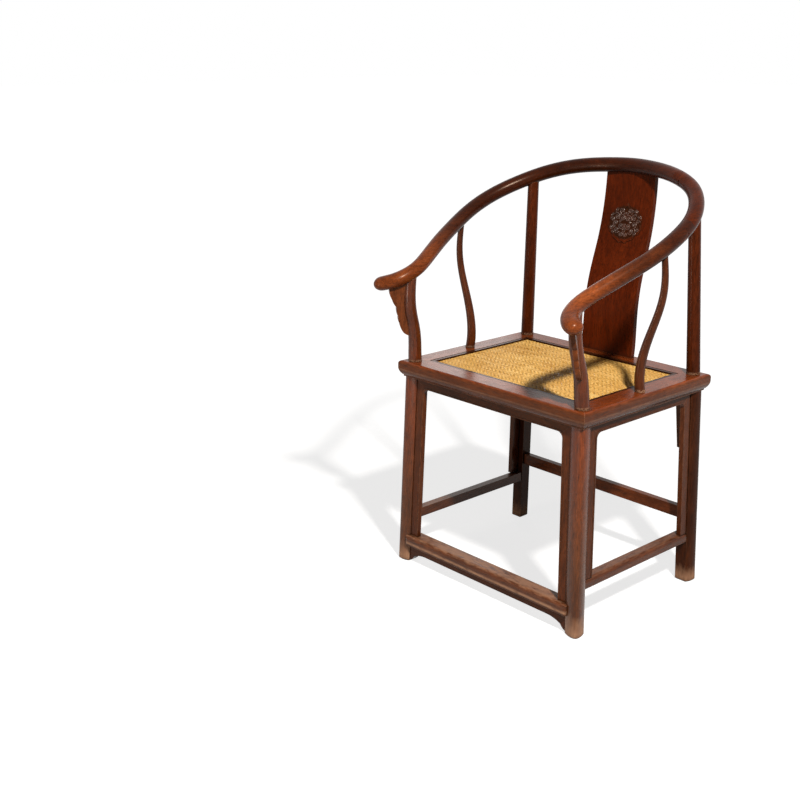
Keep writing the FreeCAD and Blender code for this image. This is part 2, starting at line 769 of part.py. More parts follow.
def mitre_tenons(body, plan):
    """A bar let into a front or back rail, whose ends stand out of the mitres."""
    near, far = tenon_span(plan)
    reach = f"{plan['half']} - mitre_tenon_stop"
    plan_view = block(f"-({reach})", near, reach, far)
    bar = outline(body, "XY_Plane", plan_view, f"{FRAME_BOTTOM} + mitre_tenon_rise")
    pad(body, bar, "mitre_tenon_thickness")


def mitre_mortises(body, plan):
    """Pockets in a side rail for the tenons of the front and back rails."""
    near, far = (f"-{plan['edge']} + mitre_tenon_stop - joint_clearance",
                 f"-{plan['edge']} + {plan['width']} + cut_overrun")
    start = f"{plan['half']} - mitre_tenon_inset + joint_clearance"
    stop = f"{plan['half']} - mitre_tenon_inset - mitre_tenon_width - joint_clearance"
    for low, high in ((f"-({start})", f"-({stop})"), (stop, start)):
        mouth = outline(body, "XY_Plane", block(low, near, high, far),
                        f"{FRAME_BOTTOM} + mitre_tenon_rise - joint_clearance")
        pocket(body, mouth, "mitre_tenon_thickness + 2 * joint_clearance", True)


def peg_spots(plan, tenoned):
    """Places of the pegs through a rail's two mitres."""
    middle = "(mitre_tenon_inset + mitre_tenon_width / 2)"
    if tenoned:
        return [(f"{sign}({plan['half']} - mitre_peg_inset)", f"-{plan['edge']} + {middle}") for sign in "+-"]
    return [(f"{sign}({plan['half']} - {middle})", f"-{plan['edge']} + mitre_peg_inset") for sign in "+-"]


def nail_row(plan):
    """Places of the nails along a rail's ledge, evenly through the middle of its mat strip."""
    spaces = 4 if plan["tenoned"] else 2
    edge = "mat_clearance - ledge_width + strip_bar_width + nail_corner_gap"
    low = f"{plan['low_width']} - {plan['half']} + {edge}"
    high = f"{plan['half']} - {plan['high_width']} - ({edge})"
    line = f"-{plan['edge']} + {plan['width']} - ledge_width + mat_clearance + strip_bar_width / 2"
    return [(f"({low}) * {1 - number / spaces} + ({high}) * {number / spaces}", line)
            for number in range(spaces + 1)]


def drilled(body, spots, diameter, top, depth):
    """Upright round holes down from a level."""
    holes = rings(body, spots, f"{diameter} + 2 * joint_clearance", f"{top} + cut_overrun")
    pocket(body, holes, f"{depth} + cut_overrun")


def seat_rail(name, plan):
    half, edge, width = plan["half"], plan["edge"], plan["width"]
    body = body_named(f"seat_rail_{name}", turned(plan["turn"]))
    mitred = [(f"-{half}", f"-{edge}"), (half, f"-{edge}"),
              (f"{half} - {plan['high_width']}", f"-{edge} + {width}"),
              (f"-{half} + {plan['low_width']}", f"-{edge} + {width}")]
    pad(body, outline(body, "XY_Plane", mitred, FRAME_BOTTOM), "frame_thickness")
    groove_along(body, outline(body, "YZ_Plane", moulded_edge(edge)))
    ledge = block(f"-{half} + {plan['low_width']} - ledge_width", f"-{edge} + {width} - ledge_width",
                  f"{half} - {plan['high_width']} + ledge_width", f"-{edge} + {width} + cut_overrun")
    pocket(body, outline(body, "XY_Plane", ledge, "seat_height + cut_overrun"), "ledge_depth + cut_overrun")
    if plan["tenoned"]:
        mitre_tenons(body, plan)
    else:
        mitre_mortises(body, plan)
    for along, end in plan["posts"]:
        drilled(body, [(along, f"-{plan['reach']}")], f"{end}_post_base_diameter", "seat_height",
                "frame_thickness + cut_overrun")
    pegs = rings(body, peg_spots(plan, plan["tenoned"]), "mitre_peg_diameter + 2 * joint_clearance",
                 f"{FRAME_BOTTOM} - cut_overrun")
    pocket(body, pegs, "mitre_peg_length + cut_overrun", True)
    drilled(body, nail_row(plan), "nail_diameter", STRIP_TOP, "nail_length")
    return body


def seat_frame():
    rails = {name: seat_rail(name, plan) for name, plan in RAILS.items()}
    for name, along in (("left", "-side_post_reach"), ("right", "side_post_reach")):
        drilled(rails[name], [(along, f"-{SIDE_POST_SPREAD}")], "side_post_foot_tenon_diameter",
                "seat_height", "side_post_foot_tenon_length")
    for name in ("front", "back"):
        for sign in "+-":
            brace_mortise(rails[name], RAILS[name], f"{sign}brace_spacing / 2")
    wide = "splat_base_width / 2 - splat_tenon_shoulder + joint_clearance"
    thick = "splat_thickness / 2 - splat_tenon_shoulder + joint_clearance"
    slot = block(f"-({wide})", f"-{SPLAT_REACH} - ({thick})", wide, f"-{SPLAT_REACH} + {thick}")
    pocket(rails["back"], outline(rails["back"], "XY_Plane", slot, "seat_height + cut_overrun"),
           "splat_tenon_length + cut_overrun")


BRACE_TOP = f"({LEDGE_TOP} - brace_drop)"


def brace_mortise(body, plan, middle):
    """The pocket in a rail's inner side for a brace's end."""
    inner = f"-{plan['edge']} + {plan['width']}"
    mouth = block(f"{middle} - brace_width / 2 - joint_clearance", f"{inner} - brace_seat - joint_clearance",
                  f"{middle} + brace_width / 2 + joint_clearance", f"{inner} + cut_overrun")
    pocket(body, outline(body, "XY_Plane", mouth, f"{BRACE_TOP} + joint_clearance"),
           "brace_thickness + 2 * joint_clearance")


def seat_braces():
    """Two bars under the seat from front to back, with a shallow belly."""
    front, back = "(seat_depth / 2 - front_rail_width)", "(seat_depth / 2 - back_rail_width)"
    low = f"{BRACE_TOP} - brace_thickness"
    side_on = [(f"-{front} - brace_seat", low), (f"-{front}", low, "brace_belly_radius"), (back, low),
               (f"{back} + brace_seat", low), (f"{back} + brace_seat", BRACE_TOP),
               (f"-{front} - brace_seat", BRACE_TOP)]
    for name, sign in (("left", "+"), ("right", "-")):
        body = body_named(f"seat_brace_{name}")
        side = outline(body, "YZ_Plane", side_on, f"{sign}brace_spacing / 2 - brace_width / 2")
        pad(body, side, "brace_width")


def turned_spot(turn, spot):
    """A place given in a rail's own frame, as seen from the front rail's."""
    across, along = spot
    return {0: (across, along), 90: (f"-({along})", across), 180: (f"-({across})", f"-({along})"),
            -90: (along, f"-({across})")}[turn]


def woven_seat():
    """Webbing and mat on the ledge, held down by four mitred strips and nails."""
    nails = [turned_spot(plan["turn"], spot) for plan in RAILS.values() for spot in nail_row(plan)]
    corner = "(seat_width / 2 - side_rail_width + ledge_width - mat_clearance)"
    front = "-seat_depth / 2 + front_rail_width - ledge_width + mat_clearance"
    back = "seat_depth / 2 - back_rail_width + ledge_width - mat_clearance"
    sheet_plan = block(f"-{corner}", front, corner, back)
    for name, low, thick in (("seat_webbing", LEDGE_TOP, "webbing_thickness"),
                             ("seat_mat", f"({LEDGE_TOP} + webbing_thickness)", "mat_thickness")):
        body = body_named(name)
        pad(body, outline(body, "XY_Plane", sheet_plan, low), thick)
        drilled(body, nails, "nail_diameter", f"{low} + {thick}", f"{thick} + cut_overrun")
    for name, plan in RAILS.items():
        body = body_named(f"mat_strip_{name}", turned(plan["turn"]))
        near = f"-{plan['edge']} + {plan['width']} - ledge_width + mat_clearance"
        low = f"-{plan['half']} + {plan['low_width']} - ledge_width + mat_clearance"
        high = f"{plan['half']} - {plan['high_width']} + ledge_width - mat_clearance"
        far = f"{near} + strip_bar_width"
        mitred = [(low, near), (high, near),
                  (f"{high} - strip_bar_width", far), (f"{low} + strip_bar_width", far)]
        plan_view = outline(body, "XY_Plane", mitred, f"{STRIP_TOP} - strip_bar_thickness")
        pad(body, plan_view, "strip_bar_thickness")
        drilled(body, nail_row(plan), "nail_diameter", STRIP_TOP, "strip_bar_thickness + cut_overrun")


def fasteners():
    """Nails through the mat strips and pegs up through the mitres, each kind as one group."""
    nails = []
    for plan in RAILS.values():
        for spot in nail_row(plan):
            place = Vector(*map(worth, turned_spot(plan["turn"], spot)), worth(f"{STRIP_TOP} - nail_length"))
            nails.append(Part.makeCylinder(worth("nail_diameter") / 2, worth("nail_length"), place))
    made("mat_strip_nails", Part.makeCompound(nails))
    pegs = []
    for name in ("front", "back"):
        for spot in peg_spots(RAILS[name], True):
            place = Vector(*map(worth, turned_spot(RAILS[name]["turn"], spot)), worth(FRAME_BOTTOM))
            pegs.append(Part.makeCylinder(worth("mitre_peg_diameter") / 2, worth("mitre_peg_length"), place))
    made("mitre_pegs", Part.makeCompound(pegs))


# Slim aprons and strips that line the openings between the legs

def mirrored(corners):
    """An outline's corners on the other side, in the order that keeps its arcs anticlockwise."""
    return [(f"-({corners[number][0]})", corners[number][1]) + corners[number - 1][2:]
            for number in range(len(corners) - 1, -1, -1)]


def beside_leg(leg, depth):
    """Distance of a leg's inner face from the middle of the chair at a depth below the seat frame."""
    inner, splay = leg
    return f"({inner} - leg_size / 2 - joint_clearance + {splay} * ({depth}) / {FRAME_BOTTOM})"


SIDE_LEGS = (LEG_SPREAD, "foot_splay")
FRONT_LEGS = (FRONT_REACH, "front_foot_advance")
REAR_LEGS = (REAR_REACH, "rear_foot_retreat")
MITRE_SHARE = 1 - math.sqrt(0.5)
APRON_BEND = "(apron_height + apron_corner_radius)"


def strip_edge(leg, depth):
    return f"({beside_leg(leg, depth)} - strip_width)"


def mitre_corner(leg):
    """Where an apron's mitre meets the rounded corner of the opening."""
    back_off = f"{MITRE_SHARE} * apron_corner_radius"
    return f"{strip_edge(leg, 'apron_height')} - {back_off}", f"-apron_height - {back_off}"


def apron_end(leg):
    return [(beside_leg(leg, "0"), "0"), mitre_corner(leg) + ("apron_corner_radius",),
            (f"{strip_edge(leg, 'apron_height')} - apron_corner_radius", "-apron_height")]


def strip_outline(leg, length):
    return [(strip_edge(leg, length), f"-({length})"), (strip_edge(leg, APRON_BEND), f"-{APRON_BEND}",
            "apron_corner_radius"), mitre_corner(leg), (beside_leg(leg, "0"), "0"),
            (beside_leg(leg, length), f"-({length})")]


def sunk_end(leg, length, foot):
    """One end of the face that is sunk a little to leave a bead along the opening's edge."""
    over, bead = "cut_overrun", "apron_bead"
    return [(f"{beside_leg(leg, '0')} + {over}", over),
            (f"{beside_leg(leg, length)} + {over}", f"-({length}) - {over}"),
            (f"{beside_leg(leg, length)} - {foot} + {bead}", f"-({length}) - {over}"),
            (f"{strip_edge(leg, APRON_BEND)} + {bead}", f"-{APRON_BEND}", f"apron_corner_radius + {bead}"),
            (f"{strip_edge(leg, 'apron_height')} - apron_corner_radius", f"-apron_height + {bead}")]


def lining_body(name, plan, corners):
    """A flat piece that leans with the legs, with its sunk face and bead."""
    lean = math.degrees(math.atan(worth(f"{plan['lean']} / {FRAME_BOTTOM}")))
    outer = Vector(0, -worth(f"{plan['reach']} + leg_size / 2 - apron_set_in"), worth(FRAME_BOTTOM))
    body = body_named(name, turned(plan["turn"]).multiply(Placement(outer, Rotation(Vector(1, 0, 0), -lean))))
    pad(body, outline(body, "XZ_Plane", corners), "apron_thickness", True)
    sunk = sunk_end(plan["high"], plan["length"], plan["foot"])
    sunk += mirrored(sunk_end(plan["low"], plan["length"], plan["foot"]))
    pocket(body, outline(body, "XZ_Plane", sunk), "apron_bead_rise")


RIGHT_STRETCHER_TOP = "(side_stretcher_top + right_stretcher_rise)"


def strip_length(stop, lean):
    """How far a strip runs down to stand on what is below it, with its inner side level there."""
    return f"{FRAME_BOTTOM} - {stop} - apron_thickness * {lean} / {FRAME_BOTTOM}"


LININGS = {
    "front": {"turn": 0, "reach": FRONT_REACH, "lean": "front_foot_advance", "low": SIDE_LEGS,
              "high": SIDE_LEGS, "length": strip_length("footrest_top", "front_foot_advance"),
              "foot": "strip_width", "strips": ("right", "left")},
    "left": {"turn": 90, "reach": LEG_SPREAD, "lean": "foot_splay", "low": FRONT_LEGS, "high": REAR_LEGS,
             "length": strip_length("side_stretcher_top", "foot_splay"), "foot": "strip_width",
             "strips": ("front", "rear")},
    "right": {"turn": -90, "reach": LEG_SPREAD, "lean": "foot_splay", "low": REAR_LEGS, "high": FRONT_LEGS,
              "length": strip_length(RIGHT_STRETCHER_TOP, "foot_splay"), "foot": "strip_width",
              "strips": ("rear", "front")},
}
BACK_LINING = {"turn": 180, "reach": REAR_REACH, "lean": "rear_foot_retreat", "low": SIDE_LEGS,
               "high": SIDE_LEGS, "length": "back_apron_drop", "foot": "back_apron_foot"}


def linings():
    for name, plan in LININGS.items():
        lining_body(f"apron_{name}", plan, apron_end(plan["high"]) + mirrored(apron_end(plan["low"])))
        low_strip, high_strip = plan["strips"]
        low_outline = mirrored(strip_outline(plan["low"], plan["length"]))
        lining_body(f"apron_strip_{name}_{low_strip}", plan, low_outline)
        lining_body(f"apron_strip_{name}_{high_strip}", plan, strip_outline(plan["high"], plan["length"]))
    lining_body("apron_back", BACK_LINING, drop_end(SIDE_LEGS) + mirrored(drop_end(SIDE_LEGS)))


def drop_end(leg):
    """One end of the back apron, which runs down beside the leg and narrows to a foot."""
    foot = f"{beside_leg(leg, 'back_apron_drop')} - back_apron_foot"
    return [(beside_leg(leg, "0"), "0"), (beside_leg(leg, "back_apron_drop"), "-back_apron_drop"),
            (foot, "-back_apron_drop"),
            (strip_edge(leg, APRON_BEND), f"-{APRON_BEND}", "apron_corner_radius"),
            (f"{strip_edge(leg, 'apron_height')} - apron_corner_radius", "-apron_height")]


# Footrest and stretchers, tenoned into the legs

def leg_face(leg, top):
    """Distance of a leg's middle from the middle of the chair at a height above the floor."""
    base, splay = leg
    return f"({base} + {splay} * (1 - {top} / {FRAME_BOTTOM}))"


def stretcher_plan(turn, low, high, across, top, height, width):
    """A stretcher between two legs, its face level with the legs' crisp outer edges."""
    return {
        "turn": turn, "top": top, "height": height, "width": width,
        "low": f"-({leg_face(low, top)} - leg_size / 2 - joint_clearance)",
        "high": f"({leg_face(high, top)} - leg_size / 2 - joint_clearance)",
        "face": f"({leg_face(across, top)} + leg_side_flat - leg_size / 2)",
        "tenon_set_in": "stretcher_tenon_inset",
    }


SIDE_SIZES = ("side_stretcher_height", "side_stretcher_width")
STRETCHERS = {
    "footrest": stretcher_plan(0, SIDE_LEGS, SIDE_LEGS, FRONT_LEGS, "footrest_top", "footrest_height",
                               "footrest_width"),
    "stretcher_left": stretcher_plan(90, FRONT_LEGS, REAR_LEGS, SIDE_LEGS, "side_stretcher_top", *SIDE_SIZES),
    "stretcher_right": stretcher_plan(-90, REAR_LEGS, FRONT_LEGS, SIDE_LEGS, RIGHT_STRETCHER_TOP, *SIDE_SIZES),
    "stretcher_back": stretcher_plan(180, SIDE_LEGS, SIDE_LEGS, REAR_LEGS, "back_stretcher_top",
                                     "back_stretcher_height", "back_stretcher_width"),
}
STRETCHERS["footrest"]["face"] = f"({leg_face(FRONT_LEGS, 'footrest_top')} + leg_size / 2 + footrest_proud)"
STRETCHERS["footrest"]["tenon_set_in"] = "footrest_proud + 2 * stretcher_tenon_inset"


def tenon_section(plan):
    """Low outer and high inner corner of a stretcher's tenon."""
    low = (f"-{plan['face']} + {plan['tenon_set_in']}",
           f"{plan['top']} - {plan['height']} + stretcher_tenon_inset")
    high = (f"-{plan['face']} + {plan['width']} - stretcher_tenon_inset",
            f"{plan['top']} - stretcher_tenon_inset")
    return low, high


def stretcher_body(name, lower_edge, radius, past):
    """A stretcher with a rounded upper outer edge, padded between the legs, and its tenons."""
    plan = STRETCHERS[name]
    body = body_named(name, turned(plan["turn"]))
    face, top, low = plan["face"], plan["top"], f"{plan['top']} - {plan['height']}"
    inner = f"-{face} + {plan['width']}"
    section = [(inner, low), (inner, top), (f"-{face} + {radius}", top, radius),
               (f"-{face}", f"{top} - {radius}")]
    section += lower_edge(face, low)
    pad(body, outline(body, "YZ_Plane", section, f"{plan['low']} - {past}"),
        f"{plan['high']} - ({plan['low']}) + 2 * {past}")
    tenon = block(*tenon_section(plan)[0], *tenon_section(plan)[1])
    pad(body, outline(body, "YZ_Plane", tenon, f"{plan['low']} - stretcher_tenon_length"),
        f"{plan['high']} - ({plan['low']}) + 2 * stretcher_tenon_length")
    return body


def plain_lower_edge(face, low):
    return [(f"-{face}", f"{low} + stretcher_bottom_radius", "stretcher_bottom_radius"),
            (f"-{face} + stretcher_bottom_radius", low)]


def stepped_lower_edge(face, low):
    return [(f"-{face}", f"{low} + footrest_bead"),
            (f"-{face} + footrest_bead_step", f"{low} + footrest_bead"),
            (f"-{face} + footrest_bead_step", low)]


def stretchers():
    for name in ("stretcher_left", "stretcher_right", "stretcher_back"):
        stretcher_body(name, plain_lower_edge, "stretcher_top_radius", "0")


def footrest():
    """The board across the front, whose ends lap round the legs' outer faces."""
    body = stretcher_body("footrest", stepped_lower_edge, "footrest_nose_radius", "footrest_lap")
    plan = STRETCHERS["footrest"]
    end, face, over = f"{plan['high']} + footrest_lap", plan["face"], "cut_overrun"
    corner = [(f"{end} - footrest_lap", f"-{face}", "footrest_lap"), (end, f"-{face} + footrest_lap"),
              (f"{end} + {over}", f"-{face} + footrest_lap"), (f"{end} + {over}", f"-{face} - {over}"),
              (f"{end} - footrest_lap", f"-{face} - {over}")]
    for corners in (corner, mirrored(corner)):
        pocket(body, outline(body, "XY_Plane", corners, "footrest_top + cut_overrun"),
               "footrest_height + 2 * cut_overrun")
    legs = [leg_bar(name, "front", CLEARANCE) for name in SIDES]
    fitted("footrest", Part.makeCompound([leg.cut(tenon_block("footrest")) for leg in legs]))


def toe_apron():
    """The apron under the footrest, which sweeps down to a cusp and a rounded drop at each end."""
    body = body_named("footrest_apron")
    top, middle = "(footrest_top - footrest_height)", "(footrest_top - footrest_height - toe_apron_height)"
    low = f"({middle} - toe_apron_end_drop)"

    def beside(height):
        return beside_leg(SIDE_LEGS, f"{FRAME_BOTTOM} - {height}")

    cusp = f"{beside(low)} - toe_apron_cusp_set_in"
    end = [(beside(top), top), (beside(low), low, "toe_apron_foot_radius", "clockwise"),
           (cusp, f"{middle} - toe_apron_cusp_drop", "toe_apron_curve_radius"),
           (f"{cusp} - toe_apron_curve_length", middle)]
    face = f"{leg_face(FRONT_LEGS, 'footrest_top')} + leg_size / 2 - apron_set_in"
    pad(body, outline(body, "XZ_Plane", end + mirrored(end), face), "apron_thickness", True)


# Building, checking and writing

envelopes = {name: crest_bar(0, CREST_HALF, side, CLEARANCE, True) for name, side in SIDES.items()}
seat_frame()
seat_braces()
woven_seat()
fasteners()
legs_with_posts()
side_posts()
crest_sections()
made("back_splat", carved_splat())
grip_brackets()
linings()
stretchers()
footrest()
toe_apron()
document.recompute()

for item in document.Objects:
    if {"Invalid", "Error"} & set(item.State):
        raise RuntimeError(f"{item.Label} did not build: {item.State}")

os.makedirs("parts", exist_ok=True)
for name, piece in pieces.items():
    shape = piece.Shape
    if shape.isNull() or not shape.isValid() or shape.Volume <= 0:
        raise RuntimeError(f"{name} has no sound shape")
    shape.exportStep(f"parts/{name}.step")
    print(name, len(shape.Solids), round(shape.Volume))
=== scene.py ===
import json
import math
from collections import namedtuple

import bpy
from mathutils import Matrix, Vector
from mathutils.bvhtree import BVHTree

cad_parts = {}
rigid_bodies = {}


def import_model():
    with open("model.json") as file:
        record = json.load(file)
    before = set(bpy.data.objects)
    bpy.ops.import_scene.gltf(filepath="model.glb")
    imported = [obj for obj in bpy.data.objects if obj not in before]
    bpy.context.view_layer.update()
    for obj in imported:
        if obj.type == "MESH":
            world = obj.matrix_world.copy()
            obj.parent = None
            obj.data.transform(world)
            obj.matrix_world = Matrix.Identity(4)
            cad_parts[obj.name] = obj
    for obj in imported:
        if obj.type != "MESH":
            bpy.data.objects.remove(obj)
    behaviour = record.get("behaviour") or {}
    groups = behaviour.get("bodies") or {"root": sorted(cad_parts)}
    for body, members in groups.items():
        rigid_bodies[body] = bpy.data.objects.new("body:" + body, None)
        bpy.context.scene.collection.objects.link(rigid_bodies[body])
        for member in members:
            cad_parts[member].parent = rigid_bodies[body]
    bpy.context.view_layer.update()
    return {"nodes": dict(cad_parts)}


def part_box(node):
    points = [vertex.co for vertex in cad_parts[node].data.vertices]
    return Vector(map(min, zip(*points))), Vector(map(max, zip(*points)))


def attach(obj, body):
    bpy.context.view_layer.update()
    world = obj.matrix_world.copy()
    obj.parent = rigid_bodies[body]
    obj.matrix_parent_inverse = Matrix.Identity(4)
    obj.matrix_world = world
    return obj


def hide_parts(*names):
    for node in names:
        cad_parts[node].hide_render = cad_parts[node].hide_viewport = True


# Lengths are in metres; each named size of the scene is in millimetres times MM.
MM = 0.001

bpy.ops.object.select_all(action="SELECT")
bpy.ops.object.delete()
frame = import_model()
nodes = frame["nodes"]
bpy.ops.object.select_all(action="DESELECT")
bpy.context.scene.view_settings.view_transform = "Standard"

# Camera at the photograph's place: the eye, its angles in degrees, and its lens in pixels of the frame
EYE = Vector((1739.4, -2067.8, 1274.6)) * MM
AZIMUTH, PITCH, ROLL = (math.radians(angle) for angle in (47.67, 17.22, 0.14))
FOCAL_PIXELS, FRAME_PIXELS, SENSOR_WIDTH = 1164.8, 800, 36


def add_camera():
    across = math.cos(PITCH)
    back = Vector((math.sin(AZIMUTH) * across, -math.cos(AZIMUTH) * across, math.sin(PITCH)))
    right = Vector((math.cos(AZIMUTH), math.sin(AZIMUTH), 0))
    up = back.cross(right)
    level = right * math.cos(ROLL) + up * math.sin(ROLL)
    upright = up * math.cos(ROLL) - right * math.sin(ROLL)
    bpy.ops.object.camera_add()
    camera = bpy.context.object
    camera.matrix_world = Matrix.Translation(EYE) @ Matrix((level, upright, back)).transposed().to_4x4()
    camera.data.sensor_width = SENSOR_WIDTH
    camera.data.lens = FOCAL_PIXELS / FRAME_PIXELS * SENSOR_WIDTH
    bpy.context.scene.camera = camera


# Shader helpers

# Sockets of a colour mix node, which have no names of their own
MIX_SHARE, MIX_LOW, MIX_HIGH, MIX_RESULT = 0, 6, 7, 2


def new_material(name):
    """A material with its shader, and a short way to add and join nodes."""
    material = bpy.data.materials.new(name)
    material.use_nodes = True
    tree = material.node_tree
    tree.nodes.clear()
    output = tree.nodes.new("ShaderNodeOutputMaterial")
    shader = tree.nodes.new("ShaderNodeBsdfPrincipled")
    tree.links.new(shader.outputs["BSDF"], output.inputs["Surface"])
    return material, tree, shader


def add_node(tree, kind, links=None, **settings):
    """Adds a node, sets its inputs or properties, and joins the outputs given to its inputs."""
    node = tree.nodes.new(kind)
    for name, setting in settings.items():
        setattr(node, name, setting)
    for name, source in (links or {}).items():
        if isinstance(source, bpy.types.NodeSocket):
            tree.links.new(source, node.inputs[name])
        else:
            node.inputs[name].default_value = source
    return node


def ramp(tree, source, stops):
    """A colour ramp from (place, value or colour) stops."""
    node = add_node(tree, "ShaderNodeValToRGB", {"Fac": source})
    while len(node.color_ramp.elements) < len(stops):
        node.color_ramp.elements.new(0.5)
    for element, (place, colour) in zip(node.color_ramp.elements, stops):
        element.position = place
        element.color = (colour, colour, colour, 1) if isinstance(colour, (int, float)) else (*colour, 1)
    return node.outputs["Color"]


def mix(tree, share, low, high, blend="MIX"):
    """Mixes two colours by a share."""
    node = add_node(tree, "ShaderNodeMix", data_type="RGBA", blend_type=blend)
    for index, source in ((MIX_SHARE, share), (MIX_LOW, low), (MIX_HIGH, high)):
        if isinstance(source, bpy.types.NodeSocket):
            tree.links.new(source, node.inputs[index])
        elif index == MIX_SHARE:
            node.inputs[index].default_value = source
        else:
            node.inputs[index].default_value = (*source, 1)
    return node.outputs[MIX_RESULT]


def multiplied(tree, colour, tone, share=1):
    """A colour times a tone."""
    return mix(tree, share, colour, tone, "MULTIPLY")


def combined(tree, kind, first, second):
    """Two values put together by a kind of sum, such as MULTIPLY or MAXIMUM."""
    return add_node(tree, "ShaderNodeMath", {0: first, 1: second}, operation=kind).outputs[0]


def band(tree, value, low, high):
    """How far a value has gone from low to high, held between 0 and 1."""
    node = add_node(tree, "ShaderNodeMapRange", {"Value": value, "From Min": low, "From Max": high})
    return node.outputs["Result"]


def noise(tree, place, scale, detail):
    node = add_node(tree, "ShaderNodeTexNoise", {"Vector": place, "Scale": scale, "Detail": detail})
    return node.outputs["Fac"]


def object_place(tree):
    return add_node(tree, "ShaderNodeTexCoord").outputs["Object"]


def face_direction(tree):
    """The way a face looks, as its three parts."""
    facing = add_node(tree, "ShaderNodeNewGeometry").outputs["Normal"]
    return add_node(tree, "ShaderNodeSeparateXYZ", {"Vector": facing}).outputs


# Wood

GRAIN_TURNS = {"x": (0, math.radians(90), 0), "y": (math.radians(90), 0, 0), "z": (0, 0, 0)}
WOOD_DARK = (0.074, 0.0182, 0.0048)
WOOD_MID = (0.112, 0.0290, 0.0080)
WOOD_LIGHT = (0.150, 0.0430, 0.0130)
# Pale colour of rubbed wear, also used for painted highlight lines
WORN_AND_HIGHLIGHT_PALE = (0.380, 0.200, 0.115)
# Old polish along a piece: the axis, the two places between which it changes, and its tones there. The
# crest rail is dark and red at the back and rubbed lighter towards the grips, and the front legs turn from
# red to brown downwards.
CREST_POLISH = ("Y", -180 * MM, 70 * MM, (
    (0, (1.9, 1.7, 1.45)),
    (0.35, (0.78, 0.66, 0.55)),
    (0.7, (0.46, 0.35, 0.27)),
    (1, (0.34, 0.22, 0.13)),
))
CREST_CENTRE_POLISH = ("X", -20 * MM, 230 * MM, (
    (0, (0.28, 0.17, 0.095)),
    (1, (0.56, 0.33, 0.16)),
))
FRONT_LEG_POLISH = ("Z", 150 * MM, 560 * MM, (
    (0, (0.90, 1.0, 1.0)),
    (0.75, (1.25, 0.92, 0.66)),
    (1, (0.85, 0.66, 0.48)),
))
REAR_LEG_POLISH = ("Z", 440 * MM, 600 * MM, (
    (0, (0.44, 0.40, 0.38)),
    (1, (0.55, 0.36, 0.25)),
))
# Painted light: faces that look up take this redder, lighter tone, where the lamps fall on them
LIT_TOP_PAINT = (1.55, 1.22, 0.85)
GLOSS_WARM = (1, 0.74, 0.56, 1)
GLOSS_RED = (1, 0.52, 0.28, 1)
GLOSS_PALE = (1, 0.90, 0.82, 1)
STREAK_TONES = ((0.30, 0.58), (0.52, 1.0), (0.72, 1.30))
PORE_TONES = ((0.34, 0.45), (0.50, 1.0))
CLOUD_TONES = ((0.3, (0.82, 0.78, 0.76)), (0.7, (1.2, 1.2, 1.2)))
RUBBED_ROUGHNESS = (0.6, 0.6, 0.6)
# Scales and stretches of the patterns in the wood: a smaller stretch draws a pattern out along the grain.
FIGURE_SCALE, FIGURE_STRETCH = 26, 0.13
STREAK_SCALE, STREAK_STRETCH = 210, 0.24
PORE_SCALE, PORE_STRETCH = 620, 0.07
PATCH_SCALE, PATCH_STRETCH = 130, 0.3
CLOUD_SCALE, SPECKLE_SCALE = 7, 420
# Painted shade: wood darkens towards this colour where other parts come within this reach, in crevices and
# under overhangs
PAINTED_CREVICE_SHADE = (0.016, 0.0062, 0.0030)
PAINTED_SHADE_REACH = 20 * MM
EDGE_RADIUS = 2.4 * MM
ARRIS_RADIUS = 0.9 * MM
PORE_DEPTH = 0.25 * MM
# The pale ring at a post's foot: how far it fades out above the seat, how far it is full, and how far it sinks
RING_FADE, RING_FULL, RING_SINK = 7 * MM, 3.5 * MM, 1 * MM


def along_grain(tree, turned, stretch, scale, detail, distortion=0.0):
    """Noise drawn out along the grain."""
    drawn = add_node(tree, "ShaderNodeMapping", {"Vector": turned, "Scale": (1, 1, stretch)}).outputs["Vector"]
    settings = {"Vector": drawn, "Scale": scale, "Detail": detail, "Roughness": 0.62, "Distortion": distortion}
    return add_node(tree, "ShaderNodeTexNoise", settings).outputs["Fac"]


def edge_share(tree):
    """How near a point is to an edge of its piece."""
    soft = add_node(tree, "ShaderNodeBevel", {"Radius": EDGE_RADIUS}, samples=6).outputs["Normal"]
    face = add_node(tree, "ShaderNodeNewGeometry").outputs["Normal"]
    likeness = add_node(tree, "ShaderNodeVectorMath", {0: soft, 1: face}, operation="DOT_PRODUCT")
    return band(tree, likeness.outputs["Value"], 0.985, 0.80)


def grain_colour(tree, place, turned, streak, pore):
    """The wood's own colour: its figure, streaks, open pores and slow clouds."""
    figure = along_grain(tree, turned, FIGURE_STRETCH, FIGURE_SCALE, 5, 0.8)
    colour = ramp(tree, figure, ((0.30, WOOD_DARK), (0.50, WOOD_MID), (0.74, WOOD_LIGHT)))
    colour = multiplied(tree, colour, ramp(tree, streak, STREAK_TONES))
    colour = multiplied(tree, colour, ramp(tree, pore, PORE_TONES), 0.8)
    return multiplied(tree, colour, ramp(tree, noise(tree, place, CLOUD_SCALE, 3), CLOUD_TONES))


def edge_rubbing(tree, patch, strength):
    """Wood rubbed along its edges, in patches."""
    patched = combined(tree, "MULTIPLY", edge_share(tree), band(tree, patch, 0.35, 0.62))
    return combined(tree, "MULTIPLY", patched, strength)


def foot_rubbing(tree, height, patch, reach):
    """A foot rubbed pale up to a ragged line."""
    ragged = combined(tree, "ADD", height, combined(tree, "MULTIPLY", patch, reach))
    return band(tree, ragged, reach * 1.5, reach * 0.5)


def top_rubbing(tree, upward, patch, strength):
    """Faces that look up, trodden or handled pale in patches."""
    trodden = band(tree, combined(tree, "MULTIPLY", upward, patch), 0.34, 0.56)
    return combined(tree, "MULTIPLY", trodden, strength)


